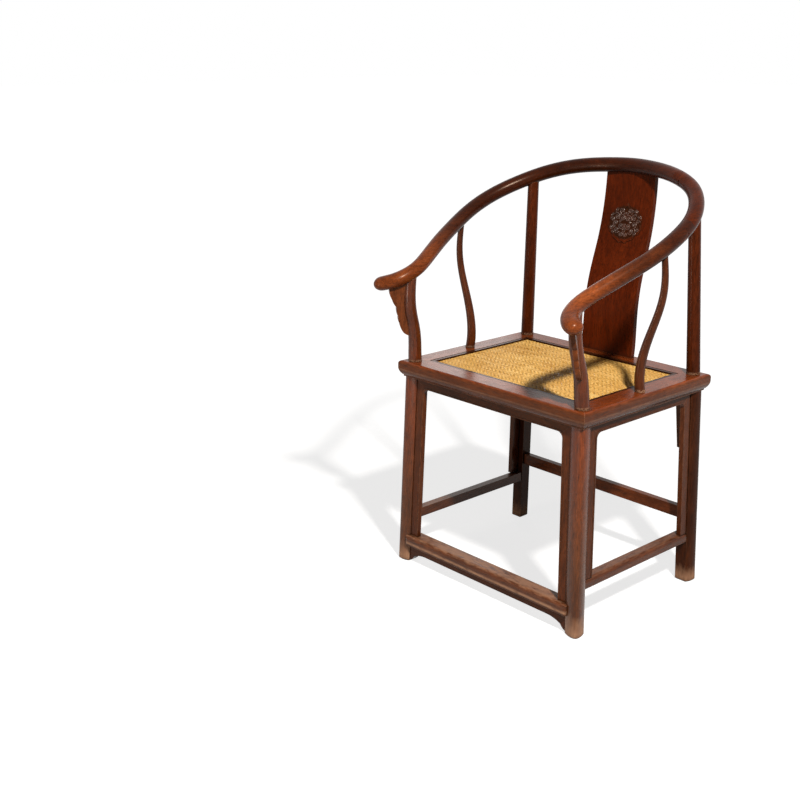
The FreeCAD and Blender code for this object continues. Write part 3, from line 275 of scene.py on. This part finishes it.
def ring_rubbing(tree, place, height, level):
    """A speckled pale ring where a post stands on the seat frame."""
    below_top = band(tree, height, level + RING_FADE, level + RING_FULL)
    above_foot = band(tree, height, level - RING_SINK, level)
    ring = combined(tree, "MULTIPLY", below_top, above_foot)
    return combined(tree, "MULTIPLY", ring, band(tree, noise(tree, place, SPECKLE_SCALE, 3), 0.42, 0.54))


def line_rubbing(tree, height, patch, line):
    """A painted highlight: a pale line between two heights, strongest in its middle and broken into patches."""
    low, high, strength = line
    middle = (low + high) / 2
    within = combined(tree, "MULTIPLY", band(tree, height, low, middle), band(tree, height, high, middle))
    patchy_highlight = combined(tree, "MULTIPLY", within, band(tree, patch, 0.25, 0.55))
    return combined(tree, "MULTIPLY", patchy_highlight, strength)


def hardwood(name, along, tone=(1, 1, 1), foot_wear=None, top_wear=None, edge_wear=0.35, foot_ring=None,
             highlight_line=None, polish=None, paint_lit_tops=False, shine=0.13, gloss=GLOSS_WARM,
             roughness=(0.32, 0.22)):
    """Polished dark hardwood with its grain along an axis.

    foot_wear is the height below which the wood is rubbed pale, top_wear the share of rubbing on faces that
    look up and edge_wear the share along edges. foot_ring is the height of a pale worn ring where a post
    stands on the seat frame. The highlight line holds two heights and a strength: a painted highlight, a pale
    line between those heights, as along a moulding or a nose. polish says how the tone changes along the
    piece, and the switch for lit tops makes faces that look up redder and lighter, which is painted light
    where the lamps fall on them."""
    material, tree, shader = new_material(name)
    place = object_place(tree)
    turn = GRAIN_TURNS[along] if isinstance(along, str) else along
    turned = add_node(tree, "ShaderNodeMapping", {"Vector": place, "Rotation": turn}).outputs["Vector"]
    streak = along_grain(tree, turned, STREAK_STRETCH, STREAK_SCALE, 4)
    pore = along_grain(tree, turned, PORE_STRETCH, PORE_SCALE, 2)
    patch = along_grain(tree, turned, PATCH_STRETCH, PATCH_SCALE, 4)
    parts = add_node(tree, "ShaderNodeSeparateXYZ", {"Vector": place}).outputs
    height = parts["Z"]
    upward = face_direction(tree)["Z"]

    colour = multiplied(tree, grain_colour(tree, place, turned, streak, pore), tone)
    if polish:
        axis, low, high, stops = polish
        colour = multiplied(tree, colour, ramp(tree, band(tree, parts[axis], low, high), stops))
    # Painted light: faces that look up are made redder and lighter
    if paint_lit_tops:
        colour = mix(tree, band(tree, upward, 0.45, 0.85), colour, multiplied(tree, colour, LIT_TOP_PAINT))

    rubbed = edge_rubbing(tree, patch, edge_wear)
    if foot_wear:
        rubbed = combined(tree, "MAXIMUM", rubbed, foot_rubbing(tree, height, patch, foot_wear))
    if top_wear:
        rubbed = combined(tree, "MAXIMUM", rubbed, top_rubbing(tree, upward, patch, top_wear))
    if foot_ring:
        rubbed = combined(tree, "MAXIMUM", rubbed, ring_rubbing(tree, place, height, foot_ring))
    # Painted highlight: a pale line between two heights
    if highlight_line:
        rubbed = combined(tree, "MAXIMUM", rubbed, line_rubbing(tree, height, patch, highlight_line))
    # Rubbed wear and painted highlight lines both turn the wood pale
    colour = mix(tree, rubbed, colour, WORN_AND_HIGHLIGHT_PALE)
    # Painted shade: darker wherever other parts are near, in crevices and under overhangs
    openness_for_painted_shade = add_node(tree, "ShaderNodeAmbientOcclusion", {"Distance": PAINTED_SHADE_REACH}, samples=8)
    colour = mix(tree, band(tree, openness_for_painted_shade.outputs["AO"], 0.88, 0.30), colour, PAINTED_CREVICE_SHADE)
    tree.links.new(colour, shader.inputs["Base Color"])

    rough = ramp(tree, streak, ((0.25, roughness[0]), (0.75, roughness[1])))
    tree.links.new(mix(tree, rubbed, rough, RUBBED_ROUGHNESS), shader.inputs["Roughness"])
    rounded = add_node(tree, "ShaderNodeBevel", {"Radius": ARRIS_RADIUS}, samples=4).outputs["Normal"]
    grained = add_node(tree, "ShaderNodeBump",
                       {"Height": pore, "Strength": 0.15, "Distance": PORE_DEPTH, "Normal": rounded})
    tree.links.new(grained.outputs["Normal"], shader.inputs["Normal"])
    shader.inputs["Specular IOR Level"].default_value = shine
    shader.inputs["Specular Tint"].default_value = gloss
    return material


MEDALLION_CENTRE = Vector((0, 0, 847)) * MM
MEDALLION_HALF_WIDTH, MEDALLION_HALF_HEIGHT = 50 * MM, 42 * MM
# Painted shade between the medallion's scrolls: its colour and how far the wood is darkened towards it
MEDALLION_PAINTED_SHADE = (0.020, 0.0062, 0.0022)
MEDALLION_SHADE_SHARE = 0.85


def darken_carving(material):
    """Painted shade on the splat's front faces inside the medallion, around and under the carved scrolls."""
    tree = material.node_tree
    shader = next(node for node in tree.nodes if node.type == "BSDF_PRINCIPLED")
    centred = add_node(tree, "ShaderNodeMapping",
                       {"Vector": object_place(tree), "Location": -MEDALLION_CENTRE})
    per_half = (1 / MEDALLION_HALF_WIDTH, 0, 1 / MEDALLION_HALF_HEIGHT)
    flat = add_node(tree, "ShaderNodeVectorMath", {0: centred.outputs["Vector"], 1: per_half},
                    operation="MULTIPLY")
    away = add_node(tree, "ShaderNodeVectorMath", {0: flat.outputs["Vector"]}, operation="LENGTH")
    forward = band(tree, face_direction(tree)["Y"], 0.0, -0.3)
    inside = combined(tree, "MULTIPLY", band(tree, away.outputs["Value"], 1.0, 0.88), forward)
    plain = shader.inputs["Base Color"].links[0].from_socket
    shaded = mix(tree, combined(tree, "MULTIPLY", inside, MEDALLION_SHADE_SHARE), plain, MEDALLION_PAINTED_SHADE)
    tree.links.new(shaded, shader.inputs["Base Color"])
    return material


def dress(names, material):
    """Gives nodes of the frame a finish."""
    for name in names:
        data = nodes[name].data
        data.materials.clear()
        data.materials.append(material)


def both(pattern):
    """The names of the left and the right piece."""
    return [pattern.format(side) for side in ("left", "right")]


FRONT_FOOT_WEAR, REAR_FOOT_WEAR = 58 * MM, 44 * MM
# The painted highlight line on the seat's moulding, below and above its middle, and how strong it is
MOULDING_BELOW, MOULDING_ABOVE, MOULDING_HIGHLIGHT = 5 * MM, 2 * MM, 0.32
# The painted highlight line along the footrest's nose, from its underside, and how strong it is
NOSE_LOW, NOSE_HIGH, NOSE_HIGHLIGHT = 2 * MM, 13 * MM, 1.0
MAT_STRIP_TONE = (0.4, 0.4, 0.4)
# The crest rail's side sections: how the grain turns in degrees, the tones of shoulder and grip, and the
# shoulder's shine
CREST_SIDES = {
    "left": (-50, (1.65, 1.5, 1.2), (0.88, 0.86, 0.84), 0.06),
    "right": (50, (0.84, 0.80, 0.76), (0.72, 0.68, 0.62), 0.14),
}


def dress_legs(seat_top):
    dress(both("front_leg_and_post_{}"),
          hardwood("hardwood_front_legs", "z", foot_wear=FRONT_FOOT_WEAR, foot_ring=seat_top,
                   polish=FRONT_LEG_POLISH, shine=0.26, gloss=GLOSS_PALE))
    dress(both("rear_leg_and_post_{}"),
          hardwood("hardwood_rear_legs", "z", foot_wear=REAR_FOOT_WEAR, foot_ring=seat_top,
                   polish=REAR_LEG_POLISH, shine=0.08))
    dress(both("side_post_{}"),
          hardwood("hardwood_posts", "z", (0.60, 0.50, 0.42), foot_ring=seat_top, shine=0.2))


def dress_seat(seat_middle):
    moulding = (seat_middle - MOULDING_BELOW, seat_middle + MOULDING_ABOVE, MOULDING_HIGHLIGHT)
    # The seat rails get a painted highlight line along the moulding and painted light on faces that look up
    dress(["seat_rail_front", "seat_rail_back"],
          hardwood("hardwood_seat_across", "x", (0.95, 0.92, 0.86), paint_lit_tops=True, highlight_line=moulding,
                   shine=0.16))
    dress(both("seat_rail_{}"),
          hardwood("hardwood_seat_deep", "y", (1.0, 0.96, 0.9), paint_lit_tops=True, highlight_line=moulding,
                   shine=0.16))
    dress(["mat_strip_front", "mat_strip_back"],
          hardwood("hardwood_mat_strips_across", "x", MAT_STRIP_TONE, edge_wear=0, shine=0.06))
    dress(both("mat_strip_{}") + both("seat_brace_{}"),
          hardwood("hardwood_mat_strips_deep", "y", MAT_STRIP_TONE, edge_wear=0, shine=0.06))
    dress(["mitre_pegs", "mat_strip_nails"], hardwood("bamboo_pins", "z", (1.6, 1.5, 1.3), edge_wear=0))


def dress_under_seat():
    dress(["apron_front", "apron_back"], hardwood("hardwood_aprons_across", "x", (0.6, 0.58, 0.52)))
    dress(both("apron_{}"), hardwood("hardwood_aprons_deep", "y", (0.6, 0.52, 0.45)))
    dress(both("apron_strip_front_{}") + both("apron_strip_{}_front") + both("apron_strip_{}_rear"),
          hardwood("hardwood_strips", "z", (0.80, 0.74, 0.66)))
    dress(["stretcher_back"], hardwood("hardwood_back_stretcher", "x", (1.1, 1.0, 0.9)))
    dress(both("stretcher_{}"),
          hardwood("hardwood_side_stretchers", "y", (0.8, 0.78, 0.72), top_wear=0.2, shine=0.2,
                   gloss=GLOSS_PALE))
    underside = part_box("footrest")[0].z
    nose = (underside + NOSE_LOW, underside + NOSE_HIGH, NOSE_HIGHLIGHT)
    # The footrest's nose gets a painted highlight line
    dress(["footrest"],
          hardwood("hardwood_footrest", "x", (0.85, 0.88, 0.85), top_wear=0.5, edge_wear=0.7,
                   highlight_line=nose, shine=0.25, gloss=GLOSS_PALE))
    dress(["footrest_apron"], hardwood("hardwood_toe", "x", (0.6, 0.55, 0.5)))


def dress_back():
    dress(["crest_rail_centre", "crest_wedge_pins"],
          hardwood("hardwood_crest", "x", edge_wear=0, polish=CREST_CENTRE_POLISH, shine=0.12))
    for side, (turn, shoulder_tone, grip_tone, shine) in CREST_SIDES.items():
        slanted = (math.radians(90), 0, math.radians(turn))
        dress([f"crest_rail_grip_{side}"],
              hardwood(f"hardwood_grip_{side}", "y", grip_tone, edge_wear=0, polish=CREST_POLISH))
        dress([f"crest_rail_shoulder_{side}"],
              hardwood(f"hardwood_shoulder_{side}", slanted, shoulder_tone, edge_wear=0,
                       polish=CREST_POLISH, shine=shine))
    splat = hardwood("hardwood_splat", "z", (0.66, 0.33, 0.18), edge_wear=0.2, shine=0.08, gloss=GLOSS_RED)
    # The splat gets painted shade inside its medallion
    dress(["back_splat"], darken_carving(splat))
    dress(both("grip_bracket_{}"), hardwood("hardwood_brackets", "z", (1.25, 1.25, 1.25), edge_wear=0.6))


def dress_wood():
    """Gives every wooden piece and its pins their finish."""
    seat_low, seat_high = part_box("seat_rail_front")
    dress_legs(seat_high.z)
    dress_seat((seat_low.z + seat_high.z) / 2)
    dress_under_seat()
    dress_back()


# Carving on the splat

# One side's scrolls: the place across and up from the medallion's middle, the size and the turn, in
# millimetres and degrees
SCROLLS = (
    (9.5, 9, 8.6, 30), (9, -8, 8.0, 215), (26.5, 13, 7.6, -30), (27, -5, 7.0, 100), (20, -20, 7.0, 160),
    (12, 26, 7.0, 70), (38.5, 4, 5.6, 10), (6.5, -27, 6.4, 250), (27, 27, 5.4, 120), (37, -14, 5.6, 200),
    (16, 2, 4.0, 300), (3.5, 20, 3.6, 90), (40, 15, 4.2, 60), (31, -25, 4.4, 140), (4, -17.5, 3.4, 20),
)
SCROLL_UNIT = 10 * MM
SCROLL_THICKNESS_SHARE = 0.23
SCROLL_BEAD_SHARE = 0.24
SCROLL_SHRINK = 0.66
SCROLL_TAPER = 0.86
SCROLL_HALF_TURNS = 4
SPIN_STEPS = 7
TUBE_CORNERS, BEAD_ROWS = 8, 6
CARVING_SINK = 0.2 * MM
CARVING_TONE = (0.48, 0.42, 0.38)
# Where rays towards the splat start, well in front of the chair
IN_FRONT = -1000 * MM


def edit(action):
    """Does something to the active object in edit mode."""
    bpy.ops.object.mode_set(mode="EDIT")
    action()
    bpy.ops.object.mode_set(mode="OBJECT")


def carved_scroll():
    """One scroll: a ring spun through half turns about centres that step inwards, with a bead in its eye."""
    bpy.ops.mesh.primitive_circle_add(vertices=TUBE_CORNERS, radius=SCROLL_UNIT * SCROLL_THICKNESS_SHARE,
                                      location=(SCROLL_UNIT, 0, 0))
    scroll = bpy.context.object

    def wind():
        centre, radius, side = 0, SCROLL_UNIT, 1
        bpy.ops.mesh.select_all(action="SELECT")
        for _ in range(SCROLL_HALF_TURNS):
            bpy.ops.mesh.spin(steps=SPIN_STEPS, angle=math.pi, center=(centre, 0, 0), axis=(0, 1, 0))
            side = -side
            end = centre + side * radius
            bpy.ops.transform.resize(value=(SCROLL_TAPER,) * 3, center_override=(end, 0, 0))
            radius *= SCROLL_SHRINK
            centre = end - side * radius
        bpy.ops.mesh.select_all(action="SELECT")
        bpy.ops.mesh.fill_holes(sides=0)
        bpy.ops.mesh.select_all(action="DESELECT")
        bpy.ops.mesh.primitive_uv_sphere_add(segments=TUBE_CORNERS, ring_count=BEAD_ROWS,
                                             radius=SCROLL_UNIT * SCROLL_BEAD_SHARE,
                                             location=(centre, 0, 0))

    edit(wind)
    bpy.ops.object.transform_apply(location=True, rotation=True, scale=True)
    return scroll


def scroll_copies():
    """The first scroll, copied to its places in mirrored pairs."""
    first = carved_scroll()
    copies = []
    for across, up, size, turn in SCROLLS:
        for side in (1, -1):
            piece = first.copy()
            piece.data = first.data.copy()
            bpy.context.scene.collection.objects.link(piece)
            place = Matrix.Translation(MEDALLION_CENTRE + Vector((side * across, 0, up)) * MM)
            turned = Matrix.Rotation(math.radians(turn) * side, 4, "Y")
            grown = size * MM / SCROLL_UNIT
            scaled = Matrix.Diagonal((side * grown, grown, grown, 1))
            piece.data.transform(place @ turned @ scaled)
            copies.append(piece)
    bpy.data.objects.remove(first)
    return copies


def turn_faces_out():
    bpy.ops.mesh.select_all(action="SELECT")
    bpy.ops.mesh.normals_make_consistent(inside=False)


def carve_medallion():
    """Scrolls in mirrored pairs, laid on the curved splat."""
    board = nodes["back_splat"].data
    surface = BVHTree.FromPolygons([vertex.co for vertex in board.vertices],
                                   [face.vertices[:] for face in board.polygons])
    carving = joined(scroll_copies(), "medallion_carving")
    edit(turn_faces_out)
    for vertex in carving.data.vertices:
        spot = vertex.co
        hit = surface.ray_cast(Vector((spot.x, IN_FRONT, spot.z)), Vector((0, 1, 0)))[0]
        vertex.co.y = spot.y + hit.y + CARVING_SINK
    bpy.ops.object.shade_smooth()
    carving.data.materials.append(hardwood("hardwood_carving", "z", CARVING_TONE, edge_wear=0, shine=0.6,
                                            gloss=GLOSS_PALE, roughness=(0.30, 0.20)))
    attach(carving, "root")


def joined(pieces, name):
    """Several objects made into one, with its origin at the chair's."""
    bpy.ops.object.select_all(action="DESELECT")
    for piece in pieces:
        piece.select_set(True)
    bpy.context.view_layer.objects.active = pieces[0]
    bpy.ops.object.join()
    whole = bpy.context.object
    whole.name = name
    bpy.ops.object.transform_apply(location=True, rotation=True, scale=True)
    return whole


# Woven seat

# How far the twill is stepped on each lengthwise strand: it turns back to make a zigzag.
ZIGZAG = (0, 1, 2, 3, 4, 5, 4, 3, 2, 1)
TWILL_PERIOD = 4
# A weave's strands: how many lie across and along, how many make one repeat of each, the share of its cell that
# a strand fills, how far it rises and is crowned, and whether a lengthwise strand is over a crosswise one.
Weave = namedtuple("Weave", "across along repeat_across repeat_along fill rise crown over")
CANE = Weave(160, 120, TWILL_PERIOD, len(ZIGZAG), 0.93, 0.42 * MM, 0.14 * MM,
             lambda cell, strand: (cell + ZIGZAG[strand % len(ZIGZAG)]) % TWILL_PERIOD < TWILL_PERIOD / 2)
WEBBING = Weave(48, 36, 2, 2, 0.86, 0.55 * MM, 0.25 * MM,
                lambda cell, strand: (cell + strand) % 2 == 0)
CANE_SCALE, PALM_SCALE, FIBRE_CLOUD_SCALE = 300, 420, 9
FIBRE_STRETCH = 0.08
FIBRE_DEPTH = 0.3 * MM
FIBRE_CLOUD_TONES = ((0.3, (0.88, 0.82, 0.76)), (0.7, (1.06, 1.06, 1.08)))
CANE_COLOURS = ((0.30, (0.44, 0.22, 0.050)), (0.50, (0.78, 0.47, 0.128)), (0.72, (0.90, 0.65, 0.27)))
PALM_COLOURS = ((0.30, (0.10, 0.050, 0.022)), (0.50, (0.20, 0.110, 0.050)), (0.72, (0.31, 0.190, 0.095)))


def fibres(name, stretch, scale, stops, tone):
    """Split cane or palm fibre, with fine lengthwise fibres and a colour that changes from strand to strand."""
    material, tree, shader = new_material(name)
    place = object_place(tree)
    drawn = add_node(tree, "ShaderNodeMapping", {"Vector": place, "Scale": stretch}).outputs["Vector"]
    strand = noise(tree, drawn, scale, 2)
    cloud = noise(tree, place, FIBRE_CLOUD_SCALE, 3)
    colour = multiplied(tree, ramp(tree, strand, stops), ramp(tree, cloud, FIBRE_CLOUD_TONES))
    tree.links.new(multiplied(tree, colour, tone), shader.inputs["Base Color"])
    tree.links.new(ramp(tree, strand, ((0.3, 0.62), (0.7, 0.44))), shader.inputs["Roughness"])
    shader.inputs["Specular IOR Level"].default_value = 0.06
    bump = add_node(tree, "ShaderNodeBump", {"Height": strand, "Strength": 0.2, "Distance": FIBRE_DEPTH})
    tree.links.new(bump.outputs["Normal"], shader.inputs["Normal"])
    return material


def weave_strand(weave, low, high, number, lengthwise):
    """One strand: a narrow grid whose rows rise and dip over the strands that it crosses."""
    span = high - low
    cells = weave.across if lengthwise else weave.along
    pitch_x, pitch_y = span.x / weave.across, span.y / weave.along
    middle = (low + high) / 2
    if lengthwise:
        middle.y = low.y + (number + 0.5) * pitch_y
    else:
        middle.x = low.x + (number + 0.5) * pitch_x
    size = (span.x, weave.fill * pitch_y, 1) if lengthwise else (weave.fill * pitch_x, span.y, 1)
    rows = (2 * cells, 2) if lengthwise else (2, 2 * cells)
    bpy.ops.mesh.primitive_grid_add(x_subdivisions=rows[0], y_subdivisions=rows[1], size=1, location=middle)
    strand = bpy.context.object
    edit(lambda: bpy.ops.transform.resize(value=size, center_override=middle))
    along, over = (0, 1) if lengthwise else (1, 0)
    half_cell = span[along] / cells / 2

    def lift(chosen, rise):
        edit(lambda: bpy.ops.mesh.select_all(action="DESELECT"))
        for vertex in strand.data.vertices:
            vertex.select = chosen(vertex.co)
        edit(lambda: bpy.ops.transform.translate(value=(0, 0, rise)))

    def raised(spot):
        cell = min(round((spot[along] + span[along] / 2) / half_cell) // 2, cells - 1)
        return weave.over(cell, number) if lengthwise else not weave.over(number, cell)

    bpy.context.tool_settings.mesh_select_mode = (True, False, False)
    lift(lambda spot: not raised(spot), -weave.rise)
    lift(raised, weave.rise)
    lift(lambda spot: abs(spot[over]) < weave.crown, weave.crown)
    return strand


def weave_layer(name, weave, node, lengthwise, finish):
    """All the strands of one direction: one repeat is woven, then copied over the node's width or depth."""
    low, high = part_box(node)
    repeat, strands = (weave.repeat_along, weave.along) if lengthwise else (weave.repeat_across, weave.across)
    woven = [weave_strand(weave, low, high, number, lengthwise) for number in range(repeat)]
    piece = joined(woven, name)
    row = piece.modifiers.new("repeat", "ARRAY")
    row.use_relative_offset = False
    row.use_constant_offset = True
    step = (high - low) * (repeat / strands)
    row.constant_offset_displace = (0, step.y, 0) if lengthwise else (step.x, 0, 0)
    row.count = strands // repeat
    bpy.ops.object.modifier_apply(modifier=row.name)
    piece.data.materials.append(finish)
    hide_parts(node)
    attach(piece, "root")


def weave_seat():
    """The twilled cane mat, and the plain woven palm webbing under it."""
    along, across = (FIBRE_STRETCH, 1, 1), (1, FIBRE_STRETCH, 1)
    weave_layer("cane_strands_lengthwise", CANE, "seat_mat", True,
                fibres("cane_lengthwise", along, CANE_SCALE, CANE_COLOURS, (1, 1, 1)))
    weave_layer("cane_strands_crosswise", CANE, "seat_mat", False,
                fibres("cane_crosswise", across, CANE_SCALE, CANE_COLOURS, (0.90, 0.81, 0.68)))
    weave_layer("palm_webbing_lengthwise", WEBBING, "seat_webbing", True,
                fibres("palm_lengthwise", along, PALM_SCALE, PALM_COLOURS, (1, 1, 1)))
    weave_layer("palm_webbing_crosswise", WEBBING, "seat_webbing", False,
                fibres("palm_crosswise", across, PALM_SCALE, PALM_COLOURS, (0.9, 0.88, 0.85)))


# Floor, sky and lamps

# Sizes of the room and its lamps are in metres.
FLOOR_HALF = 30
FLOOR_BOUNCE = 0.3
FLOOR_WHITE = 0.38
FLOOR_GLOW = 0.765
FADE_START, FADE_END = 0.9, 2.4
SKY_GLOW = 0.05
SKY_COLOUR = (1, 0.92, 0.84, 1)
LAMP_TARGET = Vector((0, 0, 0.5))
# Each lamp's direction from the seat, its distance, its size, its power in watts and its colour
Lamp = namedtuple("Lamp", "name direction reach size power colour")
LAMPS = (
    Lamp("key_lamp", Vector((0.609, -0.356, 0.709)), 3.4, 0.2, 172, (1, 0.97, 0.93)),
    Lamp("fill_lamp", Vector((-0.20, -0.95, 0.24)), 3.6, 1.2, 11, (1, 0.90, 0.80)),
    Lamp("strip_lamp", Vector((-0.38, -1.74, -0.16)), 1.8, 0.3, 6, (1, 0.95, 0.90)),
    Lamp("rim_lamp", Vector((-1.06, 0.80, 0.46)), 1.4, 0.35, 0.8, (1, 0.98, 0.95)),
)


def seen_rays(tree):
    """The rays that show the white background: the camera's, passing and mirrored ones."""
    path = add_node(tree, "ShaderNodeLightPath")
    seen = combined(tree, "MAXIMUM", path.outputs["Is Camera Ray"], path.outputs["Is Transmission Ray"])
    return combined(tree, "MAXIMUM", seen, path.outputs["Is Glossy Ray"])


def add_floor():
    """A white floor that keeps a pale shadow and fades to plain white away from the chair."""
    bpy.ops.mesh.primitive_plane_add(size=2 * FLOOR_HALF)
    floor = bpy.context.object
    floor.name = "studio_floor"
    material, tree, shader = new_material("studio_floor_white")
    seen = seen_rays(tree)
    tree.links.new(mix(tree, seen, (FLOOR_BOUNCE,) * 3, (FLOOR_WHITE,) * 3), shader.inputs["Base Color"])
    shader.inputs["Roughness"].default_value = 0.9
    shader.inputs["Specular IOR Level"].default_value = 0.0
    away = add_node(tree, "ShaderNodeVectorMath", {0: object_place(tree)}, operation="LENGTH")
    glow = ramp(tree, band(tree, away.outputs["Value"], FADE_START, FADE_END), ((0, FLOOR_GLOW), (1, 1.0)))
    glow = combined(tree, "MULTIPLY", seen, glow)
    light = add_node(tree, "ShaderNodeEmission", {"Color": (1, 1, 1, 1), "Strength": glow})
    surface = add_node(tree, "ShaderNodeAddShader", {0: shader.outputs[0], 1: light.outputs[0]})
    output = next(node for node in tree.nodes if node.type == "OUTPUT_MATERIAL")
    tree.links.new(surface.outputs[0], output.inputs["Surface"])
    floor.data.materials.append(material)


def add_sky():
    """White where it is seen or mirrored, and a dim warm room for the light that it casts."""
    world = bpy.data.worlds.new("studio")
    bpy.context.scene.world = world
    world.use_nodes = True
    tree = world.node_tree
    tree.nodes.clear()
    output = tree.nodes.new("ShaderNodeOutputWorld")
    dim = add_node(tree, "ShaderNodeBackground", {"Color": SKY_COLOUR, "Strength": SKY_GLOW})
    white = add_node(tree, "ShaderNodeBackground", {"Color": (1, 1, 1, 1), "Strength": 1.0})
    share = add_node(tree, "ShaderNodeMixShader",
                     {0: seen_rays(tree), 1: dim.outputs[0], 2: white.outputs[0]})
    tree.links.new(share.outputs[0], output.inputs["Surface"])


def add_lamp(plan):
    """A square lamp aimed at the seat."""
    place = LAMP_TARGET + plan.direction.normalized() * plan.reach
    bpy.ops.object.light_add(type="AREA", location=place)
    lamp = bpy.context.object
    lamp.name = plan.name
    lamp.rotation_euler = plan.direction.to_track_quat("Z", "Y").to_euler()
    lamp.data.size = plan.size
    lamp.data.energy = plan.power
    lamp.data.color = plan.colour
    lamp.visible_camera = False


add_camera()
add_floor()
add_sky()
for lamp_plan in LAMPS:
    add_lamp(lamp_plan)
dress_wood()
carve_medallion()
weave_seat()
